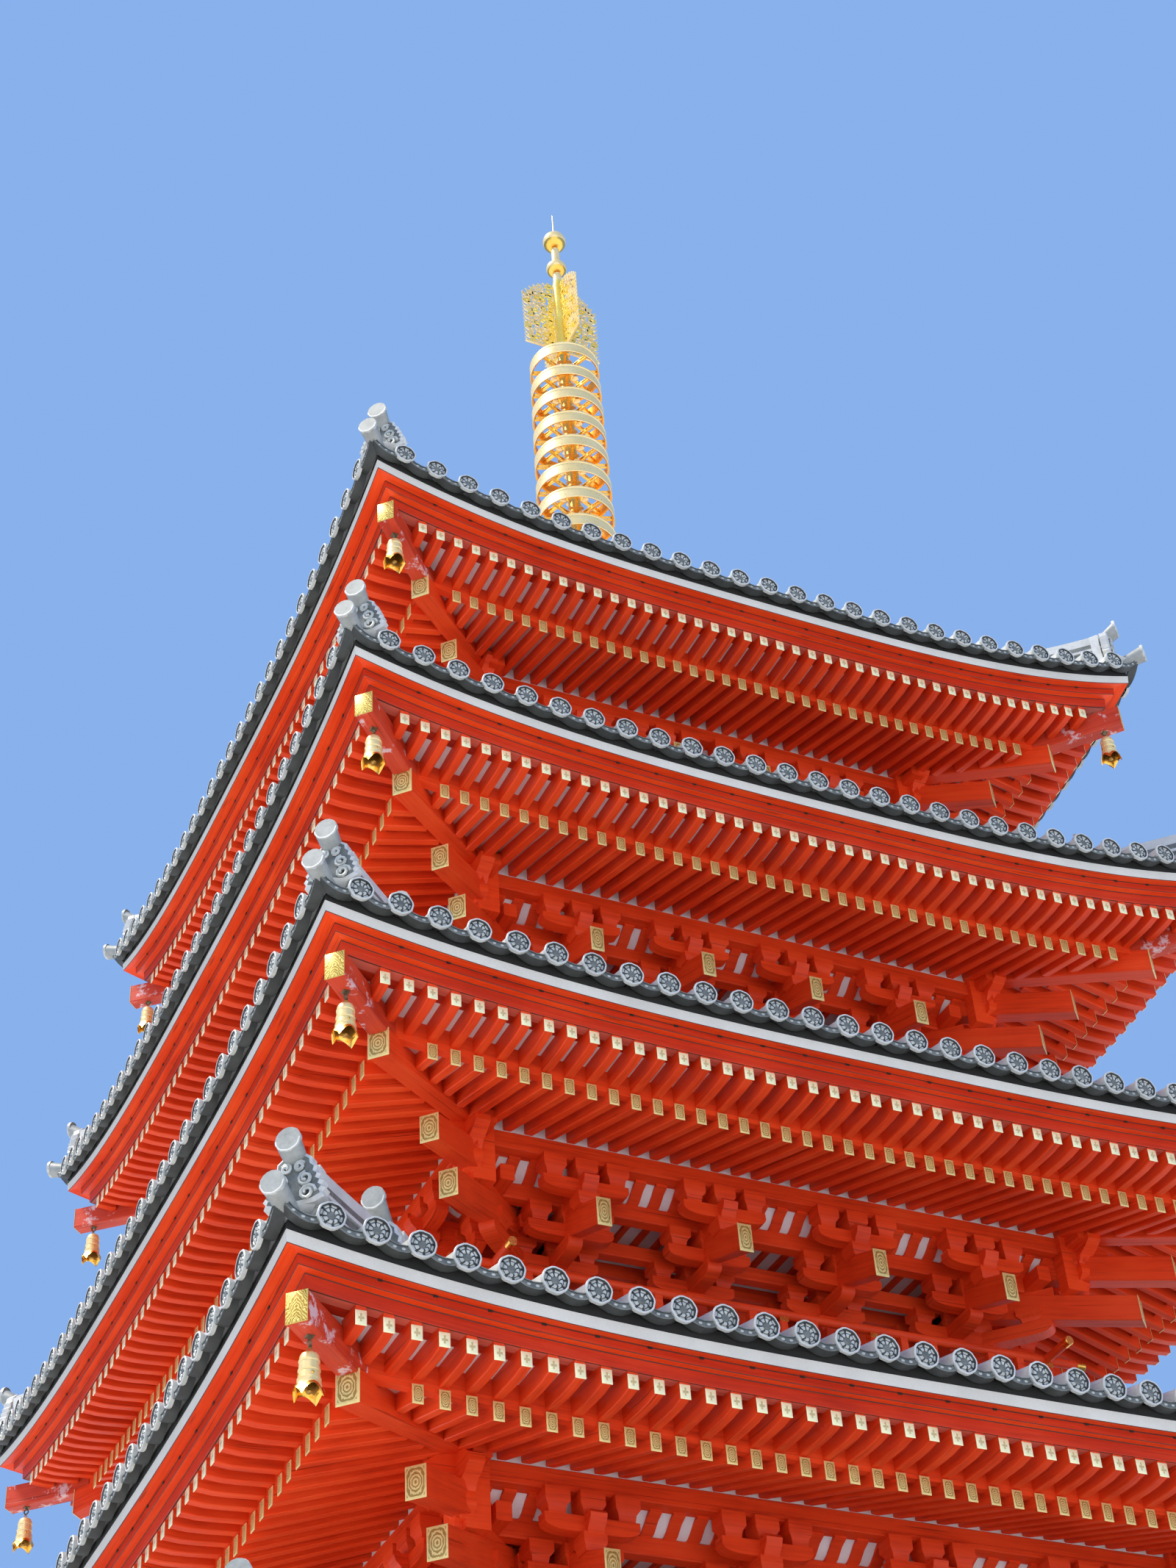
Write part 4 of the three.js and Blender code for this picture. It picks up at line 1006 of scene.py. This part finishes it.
def corner_arms(s, z):
    """Diagonal arms and the corner tails, built on the front and turned to the corner by the caller"""
    foot = LEVEL[s] - 0.96

    def y(o):
        return -(BODY[s] + o) * sqrt(2)

    yield nose(0, y(0), y(0.40), z(-1.10), z(-0.995), 0.12, 0.16)
    yield block(0, y(0.285), 0.19, z(-0.995), z(-0.89))
    yield nose(0, y(0), y(0.68), z(-0.89), z(-0.785), 0.12, 0.16)
    yield block(0, y(0.57), 0.20, z(-0.785), z(-0.68))
    yield nose(0, y(0), y(0.72), z(-0.68), z(-0.55), 0.12, 0.16)
    for reach, f in ((1.150, foot), (1.37, foot + 0.255)):
        yield beam((0, y(reach), f), (0, y(0.30), f + BASE_SLOPE * (reach - 0.30)), 0.135, 0.212, "red", 0.007)
        yield plate((0, y(reach) - 0.0005, f + 0.105), RIGHT, 0.138, 0.214, 0.005, "plate_base", 0.003)
    yield block(0, y(0.86), 0.19, z(-0.49), z(-0.336))


# Timber storeys
def storey(s):
    """Half width, post radius, half doorway, bay, half window and the level of the storey's foot"""
    half = BODY[s]
    radius = 0.110 if s else 0.150
    foot = LEVEL[s] - DECK_DROP + SEAT if s else 1.0 + SEAT
    return half, radius, half / 3 - radius - 0.03, half * 2 / 3, half / 3 - radius - 0.06, foot


def posts(s, seg=24):
    half, radius, *_, foot = storey(s)
    top = LEVEL[s] - 1.305
    prof = [(0.0, foot), (radius - 0.006, foot), (radius, foot + 0.006), (radius, top - 0.05), (radius * 0.94, top),
            (0.0, top)]
    for x in (-half, -half / 3, half / 3):
        yield moved(lathe(prof, seg, "red"), None, (x, -half, 0))


def window(x0, x1, y, z0, z1, bars):
    """Framed opening with upright squared bars set cornerwise"""
    f = 0.055
    for a, b, c, d in ((x0, x1, z1 - f, z1), (x0, x1, z0, z0 + f), (x0, x0 + f, z0 + f, z1 - f),
                       (x1 - f, x1, z0 + f, z1 - f)):
        yield bar(a, b, y - 0.05, y + 0.05, c, d, "red", 0.006)
    step = (x1 - x0 - 2 * f) / bars
    r = step * 0.30
    for i in range(bars):
        x = x0 + f + step * (i + 0.5)
        line = [(x - r, y), (x, y - r), (x + r, y), (x, y + r)]
        yield loft([[(a, b, z) for a, b in line] for z in (z0 + f, z1 - f)], "green")
    corners = ((x0 + f, z0 + f), (x1 - f, z0 + f), (x1 - f, z1 - f), (x0 + f, z1 - f))
    # near-black sheet behind the bars: painted shade of the dark room behind
    yield shape([(a, y + 0.045, b) for a, b in corners], [[0, 1, 2, 3]], "under_board")


def rosette(x, y, z, r, mat="gold"):
    prof = [(r, 0.0), (r, 0.006), (r * 0.86, 0.012), (r * 0.6, 0.012), (r * 0.5, 0.022), (r * 0.25, 0.032),
            (0.0, 0.034)]
    return moved(lathe(prof, 12, mat), tip(90), (x, y, z))


def door(leaf, y, z0, z1, mat="red"):
    """Pair of plank leaves with rails, and gilt bosses on tall ones"""
    for a, b in ((0.002 - leaf, -0.004), (0.004, leaf - 0.002)):
        yield bar(a + 0.003, b - 0.003, y - 0.012, y + 0.024, z0, z1, mat, 0.003)
        n = max(2, int((b - a) / 0.16))
        w = (b - a - 0.01) / n
        for i in range(n):
            x = a + 0.005 + w * i
            yield bar(x + 0.002, x + w - 0.002, y - 0.02, y - 0.012, z0 + 0.01, z1 - 0.01, mat, 0.003)
        for z in np.linspace(z0 + 0.06, z1 - 0.06, max(2, int((z1 - z0) / 0.42) + 1)):
            yield bar(a + 0.006, b - 0.006, y - 0.025, y - 0.02, z - 0.03, z + 0.03, mat, 0.002)
            if z1 - z0 > 1.0:
                for k in (0.14, 0.5, 0.86):
                    yield moved(lathe([(0.016, 0.0), (0.012, 0.010), (0.0, 0.014)], 8), tip(90),
                                (a + (b - a) * k, y - 0.025, z))


def wall(s, half, y0, z0, z1, top, sill):
    """Plaster slabs around the doorway and the two windows of a side"""
    radius, leaf = storey(s)[1:3]
    bay = half * 2 / 3
    win = bay / 2 - radius - 0.06
    spans = [(-half, -bay - win, z0, top), (-bay + win, -leaf, z0, top), (leaf, bay - win, z0, top),
             (bay + win, half, z0, top), (-half, half, top, z1)]
    if sill > z0 + 0.05:
        spans += [(c - win, c + win, z0, sill) for c in (-bay, bay)]
    for a, b, c, d in spans:
        yield bar(a, b, y0, y0 + 0.08, c, d, "plaster", 0.001)


LINTEL = 3.70


def ground_frame():
    half, _, leaf, bay, win, foot = storey(0)
    eave = LEVEL[0]
    yield from posts(0, 32)
    for out, inner, z0, z1, cut in ((0.21, 0.21, eave - 1.306, eave - 1.235, 0.012),
                                    (0.17, 0.06, eave - 1.400, eave - 1.325, 0.010),
                                    (0.155, 0.12, foot, foot + 0.18, 0.012), (0.155, 0.10, LINTEL, 3.86, 0.010)):
        yield crossed(half + out, half - inner, half + out, z0, z1, cut)
    for x in (-half, -half / 3, half / 3, half):
        for z in (foot + 0.09, 3.78):
            yield rosette(x, -half - 0.155, z, 0.055)
    for c in (-bay, bay):
        yield from window(c - win, c + win, -half, foot + 1.25, LINTEL, 15)
        yield bar(c - win - 0.055, c + win + 0.055, -half - 0.075, -half - 0.04, foot + 1.13, foot + 1.25)
    for side in (-1, 1):
        x = side * (leaf + 0.016)
        yield bar(x - 0.030, x + 0.030, -half - 0.05, -half + 0.05, foot + 0.18, LINTEL)


def upper_frame(s):
    half, _, leaf, bay, win, foot = storey(s)
    eave = LEVEL[s]
    yield from posts(s)
    for out, inner, z0, z1, cut in ((0.17, 0.17, eave - 1.300, eave - 1.235, 0.010),
                                    (0.13, 0.06, eave - 1.400, eave - 1.305, 0.008),
                                    (0.118, 0.08, foot, foot + 0.04, 0.008)):
        yield crossed(half + out, half - inner, half + out, z0, z1, cut)
    yield from door(leaf, -half, foot + 0.04, eave - 1.40)
    for c in (-bay, bay):
        yield from window(c - win, c + win, -half + 0.04, foot + 0.04, eave - 1.43, 9)


def build_deck(s):
    half = BODY[s] + 0.70
    inner = BODY[s] - 0.30
    z = LEVEL[s] - DECK_DROP
    n = int(round(2 * half / 0.18))
    w = 2 * half / n
    for x in row(n, w):
        far = inner if abs(x) < inner else abs(x) + w / 2
        if half - far > 0.06:
            yield bar(x - w / 2 + 0.002, x + w / 2 - 0.002, -half + 0.02, -far, z - 0.035, z, "deck", 0.004)
    yield crossed(half, half - 0.09, half, z - 0.09, z - 0.036, 0.006)
    yield bar(-half + 0.50, half - 0.601, -half + 0.50, -half + 0.60, z - 0.09, z - 0.036, "red", 0.006)
    yield quarter(inner, z - 0.02, "deck")
    yield quarter(half, z - 0.05, "deck", False)


def build_balustrade(s):
    rail = BODY[s] + 0.60
    top = LEVEL[s] - 1.040
    foot = LEVEL[s] - DECK_DROP + SEAT
    mid = (foot + top) / 2
    end = rail + 0.34
    # round top rail with gilt ends, squared middle and foot rails
    for a, b, mat, r in ((0.07 - end, end - 0.07, "red", 0.034), (-end, 0.072 - end, "gold", 0.0365),
                         (end - 0.072, end, "gold", 0.0365)):
        prof = [(0.0, 0.0), (r * 0.9, 0.0), (r, 0.004), (r, b - a - 0.004), (r * 0.9, b - a), (0.0, b - a)]
        yield moved(lathe(prof, 14, mat), [[0, 0, 1], [0, 1, 0], [-1, 0, 0]], (a, -rail, top - 0.035))
    yield crossed(rail + 0.20, rail - 0.028, rail + 0.028, mid - 0.01, mid + 0.05)
    for a, b in ((-rail - 0.23, -rail - 0.20), (rail + 0.20, rail + 0.23)):
        yield bar(a, b, -rail - 0.031, -rail + 0.031, mid - 0.013, mid + 0.053, "gold", 0.003)
    yield crossed(rail + 0.035, rail - 0.035, rail + 0.035, foot, foot + 0.09)
    for i in range(6):
        x = -rail + rail * i / 3
        yield bar(x - 0.032, x + 0.032, -rail - 0.032, -rail + 0.032, foot + 0.085, top - 0.065)
        yield bar(x - 0.036, x + 0.036, -rail - 0.036, -rail + 0.036, top - 0.105, top - 0.068, "gold", 0.004)
        for k in (1, 2):
            yield block(x + rail * k / 9, -rail, 0.06, mid + 0.05, top - 0.066, base=0.7)


# Stone base
def stones(x0, x1, z0, z1, y, depth, length):
    """Course of dressed stones along the front"""
    n = int(round((x1 - x0) / length))
    w = (x1 - x0) / n
    for i in range(n):
        yield bar(x0 + w * i + 0.003, x0 + w * (i + 1) - 0.003, y, y + depth, z0 + 0.003, z1 - 0.003, "stone")


def build_podium():
    """Each side stops short of one corner, where the next side's stones run through"""
    yield from stones(-3.80, 3.40, 0.0, 0.15, -3.80, 0.40, 0.90)
    yield from stones(-3.75, 3.25, 0.82, 1.0, -3.75, 0.50, 1.0)
    yield bar(-3.63, 3.55, -3.632, -3.56, 0.01, 0.99, "stone_joint", 0.001)
    for i in range(8):
        x = -3.70 + 0.90 * i
        yield bar(x, x + 0.20, -3.70, -3.55 if i else -3.50, 0.153, 0.817, "stone", 0.010)
        yield bar(x + 0.203, x + 0.897, -3.650, -3.58, 0.153, 0.817, "stone_panel", 0.006)
    # paving in three rings
    for a in (3.26, 2.76, 2.26):
        n = int(round((2 * a - 0.5) / 0.58))
        w = (2 * a - 0.5) / n
        for i in range(n):
            x = -a + w * i
            yield bar(x + 0.003, x + w - 0.003, -a + 0.003, -a + 0.497, 0.90, 0.996, "stone", 0.006)
    yield quarter(3.6, 0.985, "stone_joint")
    yield quarter(3.6, 0.004, "stone_joint", False)


def build_steps():
    start = 3.8 + SEAT
    for k in range(4):
        for a, b in ((-0.78, -0.003), (0.003, 0.78)):
            yield bar(a, b, -(start + (4 - k) * 0.30), -start, 0.2 * k + 0.003, 0.2 * (k + 1), "stone", 0.012)
    line = [(-start, 0.0), (-start - 1.2, 0.0), (-start - 1.2, 0.2), (-start - 0.30, 0.80), (-start, 0.80)]
    for a, b in ((-1.0, -0.785), (0.785, 1.0)):
        yield prism(line, a, b, "stone")


# Spire
def spire_box():
    z0, z1 = TOP + APEX + SEAT, TOP + 2.780
    yield bar(-0.50, 0.4395, -0.50, -0.44, z0, z1 - 0.13, "gold", 0.004)
    for a, b, r in ((z0, z0 + 0.06, 0.515), (z1 - 0.19, z1 - 0.13, 0.52), (z1 - 0.13, z1 - 0.03, 0.545),
                    (z1 - 0.03, z1, 0.56)):
        yield bar(-r, r - 0.2005, -r, -r + 0.2, a, b, "gold_pale", 0.006)
    for x in row(4, 0.24):
        yield bar(x - 0.108, x + 0.108, -0.512, -0.50, z0 + 0.085, z1 - 0.215, "gold", 0.006)
        yield rosette(x, -0.512, (z0 + z1) / 2 - 0.06, 0.05, "gold_pale")
    yield quarter(0.45, z1 - 0.006, "gold")
    yield quarter(0.45, z0 + 0.004, "gold", False)


def petal_ring(count, r0, z0, r1, z1, width, mat, curve, turn=0.0):
    """Ring of pointed lotus petals from (r0, z0) to the tip (r1, z1)"""
    for i in range(count):
        a = 2 * pi * (i + turn) / count
        rows = []
        for t in np.linspace(0, 1, 7):
            w = width * (0.55 + 0.45 * sin(pi * t * 0.9)) * (1 - t ** 4)
            r = r0 + (r1 - r0) * t + curve * sin(pi * t)
            spots = [(k * w / 2, r + 0.018 * (1 - k * k) + 0.010) for k in (-1, -0.5, 0, 0.5, 1)]
            rows.append([(q * cos(a) - p * sin(a), q * sin(a) + p * cos(a), z0 + (z1 - z0) * t) for p, q in spots])
        pts = np.array(rows)
        sheet = grid(pts, mat)
        n = np.cross(pts[4, 2] - pts[2, 2], pts[3, 3] - pts[3, 1])
        yield turned(sheet) if np.dot(n[:2], pts[3, 2, :2]) < 0 else sheet


def spire_bowl():
    bt, wt, lt = TOP + 2.780, TOP + 3.130, TOP + 3.480
    prof = [(0.0, bt + SEAT), (0.40, bt + SEAT), (0.43, bt + 0.03), (0.43, bt + 0.08), (0.415, bt + 0.10),
            (0.405, bt + 0.19), (0.385, bt + 0.22), (0.34, bt + 0.27), (0.28, bt + 0.31), (0.20, wt - 0.02),
            (0.15, wt), (0.14, wt + 0.02), (0.165, wt + 0.035), (0.165, wt + 0.06), (0.20, wt + 0.09),
            (0.30, wt + 0.16), (0.36, wt + 0.24), (0.385, lt - 0.02), (0.37, lt), (0.0, lt)]
    yield lathe(prof, 40)
    prof = [(0.0, 0.0), (0.055, 0.0), (0.055, 0.010), (0.035, 0.018), (0.030, 0.034), (0.0, 0.042)]
    knob = lathe(prof, 14, "gold_pale")
    for a in 22.5 + 45 * np.arange(8):
        yield moved(knob, spin(a + 90) @ tip(90), (0.405 * cos(radians(a)), 0.405 * sin(radians(a)), bt + 0.17))
    yield from petal_ring(12, 0.20, wt + 0.07, 0.425, lt - 0.005, 0.21, "gold_pale", 0.02)
    yield from petal_ring(12, 0.19, wt + 0.06, 0.39, lt - 0.06, 0.21, "gold", 0.04, 0.5)


RING_LEVELS = [3.700, 4.090, 4.506, 4.899, 5.323, 5.708, 6.101, 6.482, 6.864]


def ring_band(radius, z, band=0.165, thick=0.022, seg=48):
    """Upright band with a thin roll along both edges"""
    half = [(thick, band / 2 - 0.012), (0.006, band / 2), (0.0, band / 2 - 0.006), (0.0, band / 2 - 0.022),
            (0.006, band / 2 - 0.028)]
    prof = [(radius - a, z - b) for a, b in half] + [(radius - a, z + b) for a, b in half[::-1]]
    rings = [[(r * cos(a), r * sin(a), h) for r, h in prof] for a in 2 * pi * np.arange(seg) / seg]
    # the inner face and inner edges in a deeper gold: painted shade inside the ring
    return loft(rings, (["gold_deep"] + ["gold_pale"] * 7 + ["gold_deep"] * 2) * seg, True, wrap=True)


def pierced_spoke(r0, r1, z, w=0.030, h=0.050):
    """Flat openwork spoke along +x: a frame with two holes"""
    for a, b in ((0.30, 0.5), (-0.5, -0.30)):
        yield bar(r0, r1, -w / 2, w / 2, z + h * a, z + h * b, "gold", 0.003)
    for x in (r0 + 0.012, (r0 + r1) / 2, r1 - 0.012):
        yield bar(x - 0.014, x + 0.014, -w * 0.4, w * 0.4, z - h * 0.31, z + h * 0.31, "gold", 0.003)


def spire_rings():
    low = TOP + 3.480 + SEAT
    prof = [(0.058, low), (0.085, low), (0.085, low + 0.02)]
    for z in RING_LEVELS:
        prof += [(r, TOP + z + h) for r, h in ((0.068, -0.15), (0.068, -0.065), (0.092, -0.055), (0.098, -0.03),
                                               (0.098, 0.03), (0.092, 0.055), (0.068, 0.065))]
    prof += [(0.060, TOP + 7.140), (0.074, TOP + 7.145), (0.074, TOP + 7.158), (0.058, TOP + 7.160), (0.058, low)]
    yield outward(lathe(prof, 20))
    for i, z in enumerate(RING_LEVELS):
        radius, z = 0.415 - 0.030 * i / 8, TOP + z
        yield ring_band(radius, z)
        for k in range(8):
            yield moved(join(pierced_spoke(0.085, radius - 0.016, z)), spin(45 * k + 22.5))
        for side in (-1, 1):
            yield from petal_ring(8, 0.075, z + 0.052 * side, 0.150, z + 0.030 * side, 0.075, "gold_pale", 0.01)


def spire_mast():
    low, high = TOP + 3.480 + SEAT, TOP + 8.46
    return lathe([(0.0, low), (0.055, low), (0.055, high), (0.0, high)], 20, "gold_flame")


def flame_reach(z):
    """How far the blade reaches from the mast, without its curled edge"""
    levels = [7.22, 7.60, 8.06, 8.17, 8.29, 8.37, 8.40]
    return float(np.interp(z, levels, [0.425, 0.43, 0.435, 0.375, 0.245, 0.10, 0.07]))


def coil(x, z, size, start, way, mat):
    pts = []
    for t in np.linspace(0, 1, 11):
        a = start + way * 2.1 * pi * t
        r = size * (1 - 0.78 * t)
        pts.append((x + r * cos(a), 0.0, TOP + z + r * sin(a)))
    return ribbon(pts, 0.016, 0.022, mat)


def flame_blade():
    """One pierced blade of small curling flames along +x"""
    yield bar(0.058, 0.452, -0.010, 0.010, TOP + 7.222, TOP + 7.250, "gold_pale", 0.003)
    rng = np.random.default_rng(21)
    for j in range(15):
        z = 7.292 + 0.075 * j
        reach = flame_reach(z) - 0.075
        n = max(1, int(round(reach / 0.088)))
        for i in range(n):
            x = 0.075 + reach * (i + (0.62 if j % 2 else 0.38)) / n
            yield coil(x, z, 0.046 + rng.uniform(-0.005, 0.006), rng.uniform(0, 6.2), 1 if (i + j) % 2 else -1,
                       "gold_flame" if x < 0.20 or (i + j) % 3 == 0 else "gold_pale")
    # stems that tie the curls together, and the tongues along the outer edge
    for k, top in enumerate((8.32, 8.28, 8.19)):
        pts = [(0.13 + 0.12 * k + 0.030 * sin(14 * z + 2 * k), 0.0, TOP + z) for z in np.linspace(7.24, top, 30)]
        yield ribbon(pts, 0.010, 0.010, "gold_flame")
    side = [(flame_reach(7.262 + 0.066 * j), 7.262 + 0.066 * j) for j in range(13)]
    tip_row = [(0.44, 8.08), (0.40, 8.14), (0.35, 8.20), (0.295, 8.255), (0.235, 8.30), (0.175, 8.335), (0.115, 8.36)]
    side_tongue = ((-0.045, -0.012), (-0.010, -0.014), (0.020, 0.006), (0.030, 0.036))
    tip_tongue = ((-0.035, -0.045), (-0.018, -0.012), (0.006, 0.014), (0.022, 0.030))
    for places, tongue, wide in ((side, side_tongue, 0.030), (tip_row, tip_tongue, 0.032)):
        for x, z in places:
            yield ribbon([(x + a, 0.0, TOP + z + b) for a, b in tongue], 0.014, wide, "gold_pale", True)


def spire_flame():
    """Collar with four blades"""
    low, high = TOP + 7.160 + SEAT, TOP + 8.40
    prof = [(0.058, low), (0.066, low + 0.01), (0.066, high - 0.01), (0.058, high), (0.058, low)]
    yield outward(lathe(prof, 16, "gold_flame"))
    blade = join(flame_blade())
    for k in range(4):
        yield moved(blade, spin(90 * k))


def spire_jewels():
    """Post with two jewels and a long needle"""
    def jewel(r, mid, h, first, last, n):
        return [(r * sin(a), mid - h * cos(a)) for a in np.linspace(first, last, n)]

    for prof, mat, segments in (
            ([(0.050, 8.460 + SEAT), (0.050, 8.600)], "gold_pale", 20),
            (jewel(0.118, 8.710, 0.100, 0.5, 1.15, 6), "gold", 28),
            (jewel(0.118, 8.710, 0.100, 1.15, 2.75, 11), "gold_pale", 28),
            ([(0.048, 8.780), (0.048, 9.06)], "gold_pale", 20),
            (jewel(0.135, 9.212, 0.132, 0.45, 1.2, 7), "gold", 28),
            (jewel(0.135, 9.212, 0.132, 1.2, 2.85, 12), "gold_pale", 28),
            ([(0.045, 9.330), (0.034, 9.352), (0.020, 9.380), (0.012, 9.402)], "gold", 16),
            ([(0.010, 9.395), (0.0085, 9.55), (0.004, 9.7297)], "gold_pale", 10)):
        prof = [(r, TOP + z) for r, z in prof]
        yield lathe([(0.0, prof[0][1]), *prof, (0.0, prof[-1][1])], segments, mat)


# Put the pieces together
def build_all():
    for s in range(5):
        make(f"eaves_{s + 1}", four(build_eaves(s)))
        make(f"roof_{s + 1}", four(build_roof(s)), sharp=30.0)
        make(f"brackets_{s + 1}", four(build_brackets(s)))
        if s >= 3:
            reach = EAVE[s] - HANGER_IN
            for place, (a, b) in CORNERS.items():
                name = f"bell_{s + 1}_{place}"
                angle = degrees(atan2(b, a)) + 90
                make(name, moved(BELL, spin(angle), (a * reach, b * reach, hinge_level(s))), name)
    half, leaf, foot = BODY[0], storey(0)[2], storey(0)[5]
    make("frame_1", four(ground_frame()))
    make("walls_1", four(wall(0, half, -half - 0.04, foot + 0.181, LEVEL[0] - 1.401, LINTEL, foot + 1.25)))
    doors = join(door(leaf, -half, foot + 0.181, 3.699, "deck"))
    for k, side in enumerate(SIDES):
        make(f"ground_doors_{side}", moved(doors, spin(90 * k)))
        make(f"steps_{side}", moved(join(build_steps()), spin(90 * k)))
    for s in range(1, 5):
        half, radius, foot, eave = BODY[s], storey(s)[1], storey(s)[5], LEVEL[s]
        make(f"frame_{s + 1}", four(upper_frame(s)))
        make(f"walls_{s + 1}", four(wall(s, half - 0.02, radius - half, foot, eave - 1.4003, eave - 1.43, foot + 0.04)))
        make(f"balcony_{s + 1}", four(build_deck(s)))
        make(f"balustrade_{s + 1}", four(build_balustrade(s)))
    make("podium", four(build_podium()))
    make("spire_box", four(spire_box()))
    make("spire_bowl", join(spire_bowl()))
    make("spire_mast", spire_mast())
    make("spire_rings", join(spire_rings()))
    make("spire_flame", join(spire_flame()))
    make("spire_jewels", join(spire_jewels()))


build_all()


# Floor and light
def build_floor():
    mesh = bpy.data.meshes.new("floor")
    mesh.from_pydata([(160.0 * a, 160.0 * b, 0) for a, b in SQUARE], [], [(0, 1, 2, 3)])
    mesh.materials.append(plain("floor_pale", (0.80, 0.78, 0.75), (0.86, 0.84, 0.81), 0.9, 0.2, 0.0, 0.001, 0.1, 4.0))
    placed("floor", mesh)


def build_light():
    world = bpy.data.worlds.new("studio")
    world.use_nodes = True
    back = world.node_tree.nodes["Background"]
    back.inputs["Color"].default_value = (0.25, 0.44, 0.84, 1.0)
    back.inputs["Strength"].default_value = 1.0
    bpy.context.scene.world = world
    for name, angles, power, wide, colour in (("key", (31, 0, -104), 5.0, 9, (1.0, 0.94, 0.84)),
                                              ("fill", (80, 0, -25), 0.7, 60, (1.0, 0.96, 0.90))):
        data = bpy.data.lights.new(name, "SUN")
        data.energy, data.angle, data.color = power, radians(wide), colour
        placed(name, data).rotation_euler = [radians(a) for a in angles]


build_floor()
build_light()
bpy.context.scene.view_settings.view_transform = "Standard"
